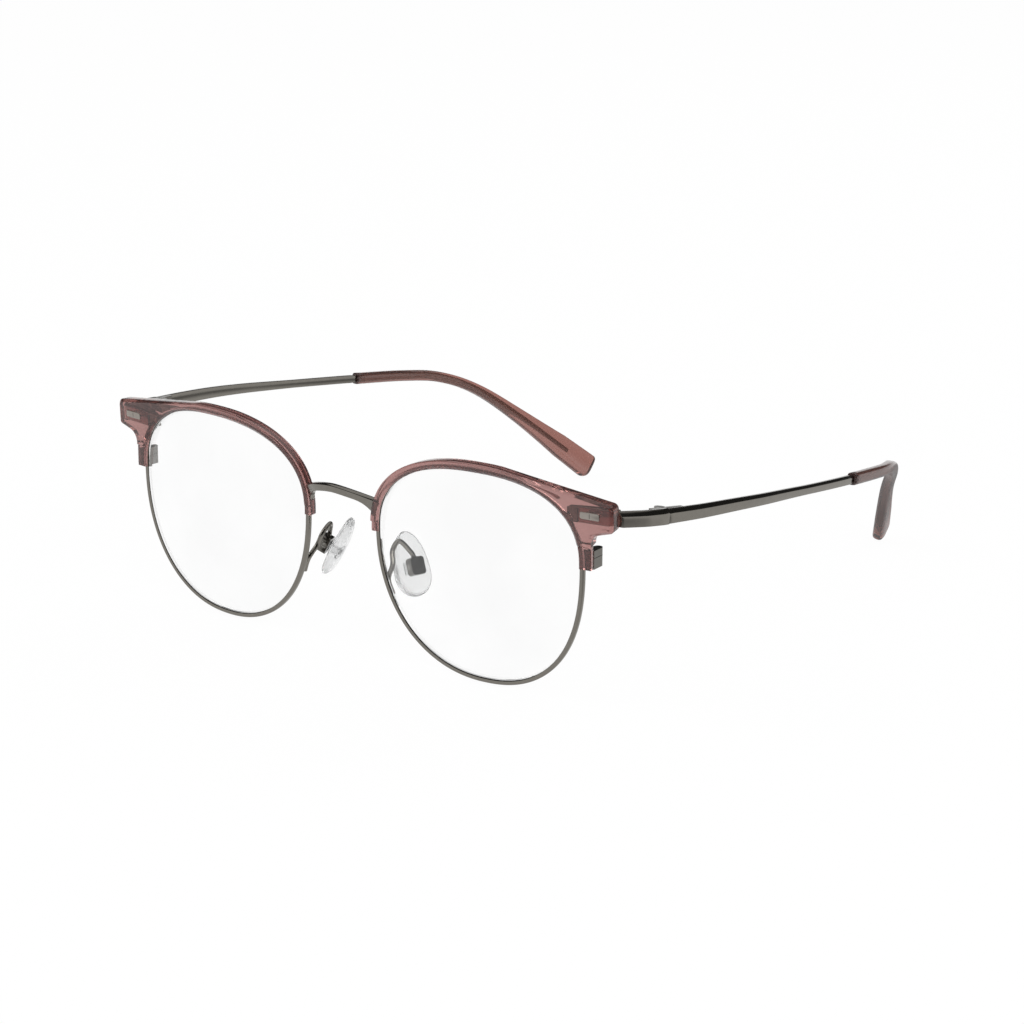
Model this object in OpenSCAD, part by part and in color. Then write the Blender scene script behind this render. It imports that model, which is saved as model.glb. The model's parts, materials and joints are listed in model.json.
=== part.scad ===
// Browline spectacles: round metal rims under clear rose acetate brows, adjustable nose pads
// and folding metal temples with acetate tips. They rest on the rims and on the temple tips.
// Left and right are the wearer's. X runs to the wearer's left, Y to the back, Z up.

/* [Lenses] */
// Width of a lens over its bevel
lens_w = 49; // [46:0.5:52]
// Height of a lens over its bevel
lens_h = 45.3; // [43:0.1:47]
// Gap between the two lenses at their bevels
lens_gap = 19.6; // [18:0.1:22]
// Height of a lens's widest line above its middle
widest_up = 6.2; // [5:0.1:7]
// Distance of a lens's crest from its middle, towards the temple
crest_out = 0.9; // [0:0.1:2]
// Fullness of the upper outer quarter, where 2 is an ellipse
full_up_out = 2.38; // [2.2:0.01:2.6]
// Fullness of the upper inner quarter
full_up_in = 2.3; // [2.2:0.01:2.5]
// Fullness of the lower inner quarter
full_low_in = 2.17; // [2.1:0.01:2.4]
// Fullness of the lower outer quarter
full_low_out = 2.32; // [2.1:0.01:2.5]
// Radius of the lens's front curve
lens_r = 123; // [100:1:160]
// Thickness of a lens
lens_t = 1.2; // [1:0.1:1.6]
// Turn of each lens about the vertical
wrap_angle = 4; // [2:0.5:6]
// Lean of the front, crest forward, as it rests
front_lean = 5; // [4:0.1:8]

/* [Rim wire] */
// Width of the wire across the lens plane
wire_w = 0.95; // [0.8:0.05:1.2]
// Depth of the wire from front to back
wire_d = 1.05; // [0.9:0.05:1.3]
// Distance from the lens bevel to the middle of the wire
bevel_seat = 0.12; // [0.08:0.01:0.2]
// Gap between the bevel and its groove
bevel_gap = 0.03; // [0.02:0.01:0.06]
// Width of the saw cut that opens the rim
rim_cut = 0.1; // [0.06:0.02:0.2]
// Height of that cut above the lens's middle
cut_up = 8; // [7.5:0.1:8.5]

/* [Brow] */
// Reach of the brow outside the middle of the wire
brow_reach = 1.55; // [1.4:0.05:2]
// The same reach beside the nose
nose_reach = 1.35; // [1.2:0.05:1.8]
// Front of the raised brow, ahead of the wire's middle
brow_front = 1.6; // [1.4:0.05:2]
// Front of the low end tabs, ahead of the wire's middle
tab_front = 0.95; // [0.85:0.05:1.2]
// Back of the brow, behind the wire's middle
brow_back = 1; // [0.9:0.05:1.3]
// Extra depth of the end block
block_back = 0.4; // [0.2:0.1:0.8]
// Back of the leg, behind the wire's middle
leg_back = 0.4; // [0.3:0.05:0.45]
// Backward slope of the end block, towards the temple
block_slope = 2; // [0:0.5:4]
// Gap between the wire and the groove that holds it
groove_gap = 0.05; // [0.04:0.01:0.07]
// Inner lip of the groove, inside the middle of the wire
lip_in = 0.4; // [0.2:0.05:0.45]
// Width of the slope from the raised front to the lens
slope_w = 0.75; // [0.5:0.05:1]
// Fall of that slope
slope_fall = 0.6; // [0.3:0.05:0.6]
// Bevel along the brow's outer edge
edge_bevel = 0.25; // [0.15:0.05:0.35]
// Bevel round the end block
block_bevel = 0.6; // [0.4:0.05:0.7]
// Corner of the end block from the lens's middle, across
block_x = 32.2; // [31:0.1:33]
// Top corner of the end block above the lens's middle
block_top = 20.1; // [19.5:0.1:20.6]
// Bottom corner of the end block above the lens's middle
block_low = 14.5; // [14:0.1:15]
// Outer edge of the leg from the lens's middle
leg_x = 27; // [26.6:0.1:27.4]
// Height of the corner where the leg meets the block
leg_top = 13.1; // [12.7:0.1:13.4]
// Foot of the leg above the lens's middle
leg_foot = 5.9; // [5.6:0.1:6.4]
// Foot of the raised front above the lens's middle
raised_foot = 10.9; // [10.5:0.1:11.2]
// Radius of the inside corner over the leg
leg_fillet = 2.4; // [1.5:0.1:2.8]
// Radius of the block's top corner
top_round = 1.3; // [0.6:0.1:1.5]
// Radius of the block's bottom corner
low_round = 1.1; // [0.5:0.1:1.3]
// Angle about the crest centre where the block's straight top edge ends
top_join = 72; // [68:1:76]
// Angle where the brow ends beside the nose
nose_end = 182; // [180:0.5:184]
// Angle where the raised front ends beside the nose
nose_step = 177; // [175:0.5:178]

/* [Rivet plaque] */
// Distance of the plaque from the lens's middle
plaque_x = 27.1; // [26.5:0.1:27.8]
// Height of the plaque above the lens's middle
plaque_z = 17.5; // [17:0.1:17.8]
// Length of the plaque
plaque_l = 4.4; // [3.6:0.1:5]
// Height of the plaque
plaque_h = 1.5; // [1.2:0.1:1.8]
// Radius of its corners
plaque_round = 0.35; // [0.2:0.05:0.5]
// Thickness of the plaque
plaque_t = 0.4; // [0.3:0.05:0.6]
// How far the plaque stands proud of the brow
plaque_proud = 0.12; // [0.05:0.01:0.2]
// Distance between its two pins
pin_pitch = 2.4; // [2:0.1:2.8]
// Radius of a pin
pin_r = 0.45; // [0.35:0.05:0.5]

/* [End piece] */
// Height of the metal bar
bar_h = 3.2; // [3:0.1:3.6]
// Thickness of the metal bar
bar_t = 1.35; // [1.25:0.05:1.35]
// Thickness of the plate behind the brow
plate_t = 1; // [0.8:0.1:1.2]
// Height of the plate above the lens's middle
plate_z = 16.8; // [16.5:0.1:17.1]
// Outward flare of the bar from the brow's side to the hinge
flare = 3.6; // [3.2:0.1:4]
// Fall of the hinge below the plate
hinge_fall = 1.3; // [1:0.1:1.5]
// Distance of the hinge axis behind the front's datum
hinge_y = 17.3; // [16:0.1:18]
// Outer face of the bar and the temple, outside the hinge axis
face_out = 2.6; // [2.5:0.1:2.8]

/* [Hinge] */
// Radius of the hinge knuckles
knuckle_r = 1.2; // [1.1:0.05:1.3]
// Radius of the hinge screw
hinge_screw_r = 0.6; // [0.5:0.05:0.7]
// Radius of its head
hinge_head_r = 0.9; // [0.8:0.05:1]
// Thickness of its head
hinge_head_t = 0.4; // [0.3:0.05:0.5]
// Running clearance on the screws, on the radius
run_gap = 0.03; // [0.02:0.01:0.05]
// Gap between neighbouring knuckles, and between the butting ends
end_gap = 0.04; // [0.03:0.01:0.08]
// Reach of a hinge leaf along its arm
leaf_l = 3.6; // [3:0.1:4.5]

/* [Temples] */
// Height of the arm at the hinge
arm_h0 = 3; // [2.8:0.1:3.4]
// Height of the arm where it has thinned
arm_h1 = 1.9; // [1.7:0.1:2.2]
// Thickness of the arm past the hinge
arm_t = 1.2; // [1:0.1:1.4]
// Length of the tapering part of the arm
taper_l = 50; // [40:1:60]
// Distance from the hinge axis to the acetate tip
tip_start = 71; // [66:1:76]
// Height of the acetate tip where it starts
tip_h0 = 2.7; // [2.5:0.1:3]
// Height of the acetate tip at its waist, behind the bend
tip_waist = 2.6; // [2.4:0.1:3]
// Height of the acetate tip near its end
tip_h1 = 6.5; // [5:0.1:7]
// Thickness of the acetate tip where it starts
tip_t0 = 2.4; // [2.2:0.1:2.6]
// Thickness of the acetate tip near its end
tip_t1 = 3; // [2.6:0.1:3.4]
// Distance from the hinge axis to the bend over the ear
bend_y = 99; // [94:1:104]
// Length of the tip behind that bend
ear_l = 49.5; // [46:0.5:56]
// Mean drop of the tip behind the bend
ear_drop = 28; // [24:1:32]
// Inward tuck of the tip behind the bend
ear_tuck = 29; // [24:1:30]
// Thickness of the metal core at its end
core_t = 0.9; // [0.7:0.1:1]
// Length of acetate past the core's end
core_short = 8; // [6:1:12]

/* [Bridge] */
// Height of the bridge bar
bridge_h = 1.7; // [1.4:0.1:2]
// Depth of the bridge bar
bridge_d = 1.2; // [1:0.1:1.4]
// Angle about the crest centre where the bridge meets the rim
bridge_angle = 169.5; // [168.5:0.5:171]
// Rise of the bridge's middle above its feet
bridge_rise = 2.7; // [2:0.1:3.4]
// How far the middle of the bridge stands ahead of its feet
bridge_bow = 3.3; // [2.5:0.1:3.6]
// Depth of the web under each end of the bridge
web_h = 2; // [1.2:0.1:2.2]

/* [Nose pads] */
// Distance of a pad's middle from the middle of the glasses
pad_x = 10.1; // [9.7:0.1:10.5]
// Distance of a pad's middle behind the front's datum
pad_y = 10.9; // [10.5:0.1:11.2]
// Height of a pad's middle below the lenses' middle
pad_down = 4.1; // [3.7:0.1:4.3]
// Lean of a pad towards the nose at its top
pad_lean = 25; // [23:0.5:27]
// Turn of a pad about the vertical
pad_splay = 20; // [18:0.5:22]
// Length of a pad
pad_l = 14; // [13:0.1:15]
// Width of a pad
pad_w = 8.5; // [7.5:0.1:9]
// Thickness of a pad
pad_t = 2.8; // [2.6:0.1:3.2]
// Thickness of the wire of a pad arm
pad_wire = 1.05; // [0.9:0.05:1.2]
// Width of the pad box across its cheeks
box_w = 3.2; // [3:0.1:3.4]
// Height of the pad box
box_h = 3.8; // [3.4:0.1:4.2]
// Thickness of each cheek and of the back of the box
box_wall = 0.7; // [0.6:0.05:0.8]
// Radius of the pad screw
pad_screw_r = 0.4; // [0.35:0.05:0.45]

/* [Rim screws] */
// Height of the closing block above the cut
block_up = 1.5; // [1.3:0.1:1.8]
// Height of the closing block below the cut
block_down = 2.25; // [2:0.05:2.5]
// Width of the closing block
clamp_w = 1.9; // [1.8:0.1:2.2]
// Depth of the closing block
clamp_d = 3.2; // [2.8:0.1:3.6]
// Radius of the closing screw
clamp_screw_r = 0.5; // [0.45:0.05:0.6]

/* [Hidden] */
$fn = 32;

metal = [0.46, 0.45, 0.42];
bright = [0.72, 0.70, 0.66];
rose = [0.66, 0.47, 0.45, 0.8];
mauve = [0.50, 0.33, 0.30, 0.9];
clear = [0.9, 0.93, 0.95, 0.35];

// Lens outline: four quarter superellipses that share the crest centre. A point of the lens
// plane is [across, up] from the lens's middle, across growing towards the temple.
crest = [crest_out, widest_up];
function quarter_w(a) = cos(a) > 0 ? lens_w / 2 - crest_out : lens_w / 2 + crest_out;
function quarter_h(a) = sin(a) > 0 ? lens_h / 2 - widest_up : lens_h / 2 + widest_up;
function fullness(a) = sin(a) > 0
    ? (cos(a) > 0 ? full_up_out : full_up_in)
    : (cos(a) > 0 ? full_low_out : full_low_in);
function lens_reach(a) = pow(
    pow(abs(cos(a)) / quarter_w(a), fullness(a)) + pow(abs(sin(a)) / quarter_h(a), fullness(a)),
    -1 / fullness(a));
function lens_edge(a) = crest + lens_reach(a) * [cos(a), sin(a)];
function unit(v) = v / norm(v);
function right_of(d) = [d[1], -d[0]];
function edge_out(a) = unit(right_of(lens_edge(a + 0.5) - lens_edge(a - 0.5)));
function wire_at(a, out) = lens_edge(a) + (bevel_seat + out) * edge_out(a);
function sag(p) = (p * p) / (2 * lens_r);
function place(p, back) = [p[0], back, p[1]];

// The lens frame stands at a lens's middle, turned by the wrap and leaned with the front.
lens_x = lens_gap / 2 + cos(wrap_angle) * lens_w / 2;
wire_steps = 96;
function leaned(p) = let(y = p[0] * sin(wrap_angle) + p[1] * cos(wrap_angle))
    y * sin(front_lean) + p[2] * cos(front_lean);
lift = -min([for (i = [0:wire_steps - 1], back = [-0.5, 0.5])
    let(a = 360 * i / wire_steps, p = wire_at(a, wire_w / 2))
    leaned(place(p, sag(wire_at(a, 0)) + back * wire_d))]);

// Skin of a row of closed rings, with flat caps when the row is open.
function skin(rings, m, wrap) = concat(
    [for (i = [0:rings - (wrap ? 1 : 2)], j = [0:m - 1]) let(k = (i + 1) % rings)
        [i * m + j, k * m + j, k * m + (j + 1) % m]],
    [for (i = [0:rings - (wrap ? 1 : 2)], j = [0:m - 1]) let(k = (i + 1) % rings)
        [i * m + j, k * m + (j + 1) % m, i * m + (j + 1) % m]],
    wrap ? [] : [[for (j = [0:m - 1]) j], [for (j = [m - 1:-1:0]) (rings - 1) * m + j]]);
module loft(rings, wrap = false) {
    m = len(rings[0]);
    polyhedron([for (r = rings, p = r) p], skin(len(rings), m, wrap), convexity = 8);
}

// Ring of a section, given as [aside, along the cross direction], square to the direction of
// travel. The first axis of the section leans as little as it can from the given one.
function ring(p, travel, aside, section) =
    let(s = unit(aside - (aside * travel) * travel), k = cross(travel, s))
    [for (q = section) p + q[0] * s + q[1] * k];
function travel_at(route, i) = unit(route[min(i + 1, len(route) - 1)] - route[max(i - 1, 0)]);
// Smooth route through hand-chosen points, with a number of steps between each pair.
function beyond(p, i) = i < 0 ? 2 * p[0] - p[1]
    : i >= len(p) ? 2 * p[len(p) - 1] - p[len(p) - 2] : p[i];
function between(a, b, c, d, t) = 0.5 * (2 * b + (c - a) * t
    + (2 * a - 5 * b + 4 * c - d) * t * t + (3 * b - a - 3 * c + d) * t * t * t);
function route_through(p, steps) = concat(
    [for (i = [0:len(p) - 2], k = [0:steps - 1])
        between(beyond(p, i - 1), p[i], p[i + 1], beyond(p, i + 2), k / steps)],
    [p[len(p) - 1]]);
function mix(a, b, t) = a + (b - a) * t;
function ramp(t) = min(max(t, 0), 1);
// Rounded section where a fullness of 2 is an ellipse.
function oval(w, h, full, count) = [for (i = [0:count - 1]) let(a = 360 * i / count)
    [w / 2 * sign(cos(a)) * pow(abs(cos(a)), 2 / full),
        h / 2 * sign(sin(a)) * pow(abs(sin(a)), 2 / full)]];
// The same rounded corner as a row of points from one straight to the next.
function turned(p, a) = [p[0] * cos(a) - p[1] * sin(a), p[0] * sin(a) + p[1] * cos(a)];
function corner(a, p, b, r, steps) =
    let(u = unit(a - p), v = unit(b - p), half = acos(u * v) / 2,
        c = p + unit(u + v) * r / sin(half), s = p + u * r / tan(half) - c,
        way = cross(s, p + v * r / tan(half) - c) > 0 ? 1 : -1)
    [for (i = [0:steps]) c + turned(s, way * (180 - 2 * half) * i / steps)];

// Brow outline from the leg's foot, up round the end block and over to the nose. Each station
// holds its outer point, the angle of the rim point that it faces, and its section's sizes.
function leg_angle(up) = asin((up - widest_up) / quarter_w(0));
foot_angle = leg_angle(leg_foot);
foot_out = edge_out(foot_angle);
foot_wire = wire_at(foot_angle, 0);
leg_foot_p = foot_wire + (leg_x - foot_wire[0]) / foot_out[0] * foot_out;
knee_p = [leg_x, leg_top];
low_p = [block_x, block_low];
top_p = [block_x, block_top];
join_p = wire_at(top_join, brow_reach);
function spread(points, from, to) = [for (i = [0:len(points) - 1])
    [points[i], mix(from, to, i / max(len(points) - 1, 1))]];
tab_drop = 0.5;
edge_steps = 10;
arc_steps = 28;
outline = concat(
    [[leg_foot_p, foot_angle]],
    [for (i = [1:2]) let(v = mix(leg_foot, raised_foot - tab_drop, i / 2))
        [[leg_x, v], leg_angle(v)]],
    [[[leg_x, raised_foot], leg_angle(raised_foot)]],
    spread(corner(leg_foot_p, knee_p, low_p, leg_fillet, 4), 13.5, 17.5),
    spread(corner(knee_p, low_p, top_p, low_round, 3), 19.5, 21.5),
    [[mix(low_p, top_p, 0.5), 25.2]],
    spread(corner(low_p, top_p, join_p, top_round, 4), 29, 33),
    [for (i = [1:edge_steps - 1]) [mix(top_p, join_p, 0.06 + 0.94 * i / edge_steps),
        mix(33, top_join, 0.06 + 0.94 * i / edge_steps)]],
    [for (i = [0:arc_steps]) let(a = mix(top_join, nose_step, i / arc_steps))
        [wire_at(a, mix(brow_reach, nose_reach, ramp((a - 110) / 60))), a]],
    [for (a = [nose_step + 1, nose_end]) [wire_at(a, nose_reach), a]]);
raised_first = 3;
raised_last = len(outline) - 3;
block_last = 17 + edge_steps;
leg_last = 3;
groove_out = wire_w / 2 + groove_gap;
groove_half = wire_d / 2 + groove_gap;
tab_slope = 0.15;
tab_bevel = 0.15;
soft = 0.15;
function brow_ring(j) =
    let(a = outline[j][1], o = outline[j][0], p = wire_at(a, 0), n = edge_out(a), base = sag(p),
        raised = j >= raised_first && j <= raised_last,
        block = ramp((block_last - j) / edge_steps),
        m = j == 0 || j == len(outline) - 1
            ? n : unit(right_of(outline[j + 1][0] - outline[j - 1][0])),
        tilt = tan(block_slope) * norm(o - p),
        front = raised ? brow_front : tab_front,
        bevel = raised ? mix(edge_bevel, block_bevel, block) : tab_bevel,
        slope = raised ? slope_w : tab_slope,
        fall = raised ? slope_fall : tab_slope,
        back = j > leg_last ? brow_back + block_back * block : leg_back,
        lip = j > leg_last + 1 ? -lip_in : groove_out + soft,
        lip_front = j > leg_last ? groove_half : leg_back - soft)
    [place(p - lip_in * n, base - front + fall),
        place(p + (slope - lip_in) * n, base - front),
        place(o - bevel * m, base - front + tilt),
        place(o, base - front + bevel + tilt),
        place(o - soft * m, base + back + tilt - soft),
        place(o - 2 * soft * m, base + back + tilt),
        place(p + lip * n, base + min(back, brow_back)),
        place(p + (j > leg_last + 1 ? -lip_in : groove_out + soft / 2) * n,
            base + lip_front + (j > leg_last + 1 ? 0 : soft / 2)),
        place(p + groove_out * n, base + lip_front),
        place(p + groove_out * n, base - groove_half),
        place(p - lip_in * n, base - groove_half)];

// Frames. Pieces of one side are drawn for the wearer's left and mirrored for the right.
module mirrored(side) mirror([side < 0 ? 1 : 0, 0, 0]) children();
function in_front(p) = [lens_x + p[0] * cos(wrap_angle) - p[1] * sin(wrap_angle),
    p[0] * sin(wrap_angle) + p[1] * cos(wrap_angle), p[2]];
function from_front(p) = [p[0], p[1] * cos(front_lean) - p[2] * sin(front_lean),
    p[1] * sin(front_lean) + p[2] * cos(front_lean) + lift];
function from_lens(p) = from_front(in_front(p));

// Hair gap between pieces that are soldered or glued together.
touch = 0.01;

// Bridge: a flat bar that bows forward and up between the two rims.
bridge_p = wire_at(bridge_angle, 0);
bridge_end = in_front(place(wire_at(bridge_angle, wire_w / 2 + touch), sag(bridge_p)));
bridge_steps = 32;
bridge_route = [for (i = [-bridge_steps / 2:bridge_steps / 2])
    let(t = 2 * i / bridge_steps, x = t * bridge_end[0])
    [x, bridge_end[1] - bridge_bow * (1 - pow(abs(t), 1.9)),
        bridge_end[2] + bridge_rise * (1 - pow(abs(t), 1.7))]];
bar_soft = 0.2;
function bridge_section(web) = let(d = bridge_d / 2, h = bridge_h / 2, low = -h - web, r = bar_soft)
    [[-d, low + r], [-d + r, low], [d - r, low], [d, low + r], [d, h - r], [d - r, h],
        [-d + r, h], [-d, h - r]];
// The web is a rounded tab over the outer quarter of each half.
function web_at(share) = web_h * sqrt(1 - pow(1 - ramp((share - 0.74) / 0.16), 2));
function turned_in(p) = [p[0] * cos(wrap_angle), p[0] * sin(wrap_angle), p[1]];
bridge_turn = turned_in(-edge_out(bridge_angle));
function bridge_travel(i) = i == 0 ? [bridge_turn[0], -bridge_turn[1], -bridge_turn[2]]
    : i == bridge_steps ? bridge_turn : travel_at(bridge_route, i);
bridge_rings = [for (i = [0:bridge_steps])
    ring(bridge_route[i], bridge_travel(i), [0, 1, 0],
        bridge_section(web_at(abs(2 * i / bridge_steps - 1))))];

// Hinge frame: on the hinge axis at the joint, Y along the temple, Z along the axis.
side_x = lens_x + block_x * cos(wrap_angle);
hinge_x = side_x + flare - face_out;
plate_mid = from_lens(place([block_x - 4, plate_z], sag(wire_at(27, 0)) + brow_back + 1.3));
hinge_z = plate_mid[2] - hinge_fall;
arm_start = face_out - bar_t / 2;
function ear(l, drop) = l * [-cos(drop) * sin(ear_tuck), cos(drop) * cos(ear_tuck), -sin(drop)];
bend_p = [-2.8, bend_y, -1];
half_ear = bend_p + ear(ear_l / 2, ear_drop - 4.5);
temple_marks = [[arm_start, end_gap, 0], [3.5, 10, 0.2], [4.4, 21, 0.4], [4.7, 32, 0.4],
    [4.3, 43, 0.3], [3.7, 57, 0.1], [2.6, 72, -0.1], [0.5, bend_y - 10, -0.35], bend_p,
    mix(bend_p, half_ear, 0.48) + [0.7, 0, 1.6], half_ear,
    half_ear + ear(ear_l / 2, ear_drop + 4.5)];
mark_steps = 4;
temple_route = route_through(temple_marks, mark_steps);
function run(i) = i < 1 ? 0 : run(i - 1) + norm(temple_route[i] - temple_route[i - 1]);
temple_l = run(len(temple_route) - 1);
// The acetate tip starts where the route passes tip_start, and runs to the route's end.
first_tip = [for (i = [0:len(temple_route) - 1]) if (temple_route[i][1] > tip_start + 0.5) i][0];
function route_at(y) = let(i = [for (k = [1:len(temple_route) - 1])
        if (temple_route[k][1] >= y) k][0], a = temple_route[i - 1], b = temple_route[i])
    mix(a, b, (y - a[1]) / (b[1] - a[1]));
tip_route = concat([route_at(tip_start)],
    [for (i = [first_tip:len(temple_route) - 1]) temple_route[i]]);
tip_count = 16;
function tip_share(i) = i < 1 ? 0 : (run(first_tip + i - 1) - tip_start) / (temple_l - tip_start);
function tip_h(i) = mix(tip_h0, tip_waist, ramp(tip_share(i) / 0.45))
    + (tip_h1 - tip_waist) * pow(ramp((tip_share(i) - 0.45) / 0.45), 2);
function tip_t(i) = mix(tip_t0, tip_t1, tip_share(i));
tip_full = 2.6;
end_round = 0.8;
top_turn = 0.9;
low_turn = 2;
tip_end = len(tip_route) - 1;
// Loss of a corner of radius r at a distance from the very end of the tip.
function end_cut(r, from_end) = from_end < r ? r - sqrt(r * r - (r - from_end) * (r - from_end)) : 0;
function end_ring(d) = let(way = travel_at(tip_route, tip_end),
        up_cut = end_cut(top_turn, d), low_cut = end_cut(low_turn, d))
    ring(tip_route[tip_end] + (end_round - d) * way, way, [1, 0, 0],
        [for (q = oval(tip_t1 - 2 * end_cut(end_round, d), tip_h1 - up_cut - low_cut,
            tip_full, tip_count)) q + [0, (up_cut - low_cut) / 2]]);
tip_rings = concat(
    [for (i = [0:tip_end - 1]) ring(tip_route[i], travel_at(tip_route, i), [1, 0, 0],
        oval(tip_t(i), tip_h(i), tip_full, tip_count))],
    [for (d = [2, 1.2, 0.7, 0.35, 0.12, 0.02]) end_ring(d)]);
// The tips reach down to the table, which sets the slope of the temples and of the bars.
guess_slope = 5.4;
function depth_of(p) = p[2] * cos(guess_slope) - p[1] * sin(guess_slope);
low_tip = min([for (r = tip_rings, p = r) depth_of(p)]);
low_point = [for (r = tip_rings, p = r) if (depth_of(p) <= low_tip) p][0];
bar_slope = asin(hinge_z / norm([low_point[1], low_point[2]])) - atan2(-low_point[2], low_point[1]);
function from_hinge(p) = [hinge_x + p[0], hinge_y + p[1] * cos(bar_slope) + p[2] * sin(bar_slope),
    hinge_z - p[1] * sin(bar_slope) + p[2] * cos(bar_slope)];

// The datum moves to the middle of the resting glasses, on the table.
front_most = min([for (r = bridge_rings, p = r) from_front(p)[1]]);
back_most = max([for (r = tip_rings, p = r) from_hinge(p)[1]]);
y_shift = -(front_most + back_most) / 2;
module front_frame() translate([0, y_shift, lift]) rotate([front_lean, 0, 0]) children();
module lens_frame() front_frame() translate([lens_x, 0, 0]) rotate([0, 0, wrap_angle]) children();
module hinge_frame() translate([hinge_x, hinge_y + y_shift, hinge_z])
    rotate([-bar_slope, 0, 0]) children();
pad_mid = [pad_x, pad_y, lift - pad_down];
pad_back = [cos(pad_splay) * cos(pad_lean), -sin(pad_splay) * cos(pad_lean), sin(pad_lean)];
pad_aside = [sin(pad_splay), cos(pad_splay), 0];
pad_up = [-cos(pad_splay) * sin(pad_lean), sin(pad_splay) * sin(pad_lean), cos(pad_lean)];
function from_pad(p) = pad_mid + p[0] * pad_back + p[1] * pad_aside + p[2] * pad_up;
module pad_frame() translate([pad_x, pad_y + y_shift, lift - pad_down])
    rotate([0, 0, -pad_splay]) rotate([0, -pad_lean, 0]) children();

// Rim wire, cut open at the closing block, with a groove for the lens on its inner side.
cut_angle = leg_angle(cut_up);
half_cut = rim_cut / 2 / quarter_w(0) * 180 / PI;
groove_apex = bevel_seat - bevel_gap * sqrt(2);
groove_mouth = wire_w / 2 - groove_apex;
wire_soft = 0.15;
wire_section = let(w = wire_w / 2, d = wire_d / 2, r = wire_soft)
    [[-w, -groove_mouth], [-w + r, -d], [w - r, -d], [w, -d + r], [w, d - r], [w - r, d],
        [-w + r, d], [-w, groove_mouth], [-groove_apex, 0]];
function station(i) = cut_angle + 360 * i / wire_steps
    + (i == 0 ? half_cut : i == wire_steps ? -half_cut : 0);
function wire_ring(a) = let(p = wire_at(a, 0), n = edge_out(a))
    [for (q = wire_section) place(p + q[0] * n, sag(p) + q[1])];
module eyewire() lens_frame() loft([for (i = [0:wire_steps]) wire_ring(station(i))]);

// Lens, bevelled to sit in that groove.
lens_shares = [0.35, 0.7];
function lens_ring(share, back) = [for (i = [0:wire_steps - 1])
    let(q = share * lens_edge(cut_angle + 360 * i / wire_steps)) place(q, sag(q) + back)];
function rim_ring(in, back) = [for (i = [0:wire_steps - 1])
    let(a = cut_angle + 360 * i / wire_steps, p = wire_at(a, 0))
    place(wire_at(a, -bevel_seat - in), sag(p) + back)];
module lens() {
    t = lens_t / 2;
    m = wire_steps;
    rings = [lens_ring(lens_shares[0], t), lens_ring(lens_shares[1], t), rim_ring(t, t),
        rim_ring(0, 0), rim_ring(t, -t), lens_ring(lens_shares[1], -t),
        lens_ring(lens_shares[0], -t)];
    n = len(rings) * m;
    lens_frame() polyhedron(
        concat([for (r = rings, p = r) p], [[0, t, 0], [0, -t, 0]]),
        concat([for (f = skin(len(rings), m, false)) if (len(f) == 3) f],
            [for (j = [0:m - 1]) [n, j, (j + 1) % m]],
            [for (j = [0:m - 1]) [n + 1, n - m + (j + 1) % m, n - m + j]]),
        convexity = 4);
}

// Rivet plaque, let into the front of the end block, and its two pins.
plaque_foot = wire_at(27, 0);
plaque_y = sag(plaque_foot) - brow_front
    + tan(block_slope) * norm([plaque_x, plaque_z] - plaque_foot);
block_deep = brow_front + brow_back + block_back;
module plaque_frame() lens_frame() translate([plaque_x, plaque_y, plaque_z])
    rotate([0, 0, block_slope]) children();
module plaque_box(gap) translate([0, -plaque_proud, 0]) rotate([-90, 0, 0])
    linear_extrude(plaque_t) offset(r = plaque_round + gap)
        square([plaque_l - 2 * plaque_round, plaque_h - 2 * plaque_round], center = true);
module pins(from, to, gap) for (s = [-0.5, 0.5]) translate([s * pin_pitch, from, 0])
    rotate([-90, 0, 0]) cylinder(r = pin_r + gap, h = to - from);
module brow_rivet() plaque_frame() {
    plaque_box(0);
    pins(plaque_t - plaque_proud - 0.1, block_deep + plate_t + 0.4, 0);
}

// Plate behind the brow: its frame stands on the plate's inner front edge.
plate_in = 21.5;
plate_sag = sag(plaque_foot) + brow_back;
plate_out = block_x - 0.3;
plate_turn = atan((block_back + tan(block_slope) * (plate_out - plaque_foot[0])) / 10);
module plate_frame() lens_frame() translate([plate_in, plate_sag + 0.13, plate_z])
    rotate([0, 0, plate_turn]) children();
foot_w = 2.4;
foot_h = 3;
module rim_foot(gap) lens_frame()
    translate([plate_in - 0.3 - gap, sag(plaque_foot) + wire_d / 2 + 4 * touch, plate_z - foot_h / 2 - gap])
    cube([foot_w + 2 * gap, brow_back, foot_h + 2 * gap]);

// Flat bar section, [outer point, inner point, height], with its upper outer edge bevelled.
function bar_ring(o, n, y, h) = let(third = 0.3 * h, soft = 0.35 * (o - n))
    [[n, y, -h / 2], [n, y, h / 2], [o - soft, y, h / 2], [o, y, h / 2 - third], [o, y, -h / 2]];
bar_marks = [[-12.6, -1.3, 1.6], [-11.4, -0.85, 1.55], [-8.6, 0.4, 1.5], [-5.8, 1.5, 1.45],
    [-3.4, 2.1, 1.4], [-1.4, 2.5, 1.36], [0, 2.6, 1.35]];
function bar_plan(i) = let(m = bar_marks[i], o = m[1] + face_out - 2.6)
    [o, o - m[2] - bar_t + 1.35, m[0]];
module bar() hinge_frame() loft([for (i = [0:len(bar_marks) - 1])
    let(p = bar_plan(i)) bar_ring(p[0], p[1], p[2], bar_h)]);
module end_piece() difference() {
    union() {
        rim_foot(0);
        plate_frame() translate([0, 0, -bar_h / 2]) cube([plate_out - plate_in, plate_t, bar_h]);
        difference() {
            bar();
            plate_frame() translate([0, -5, -5]) cube([20, 5, 10]);
        }
    }
    plaque_frame() pins(1, block_deep + plate_t + 2, run_gap);
}

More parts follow.
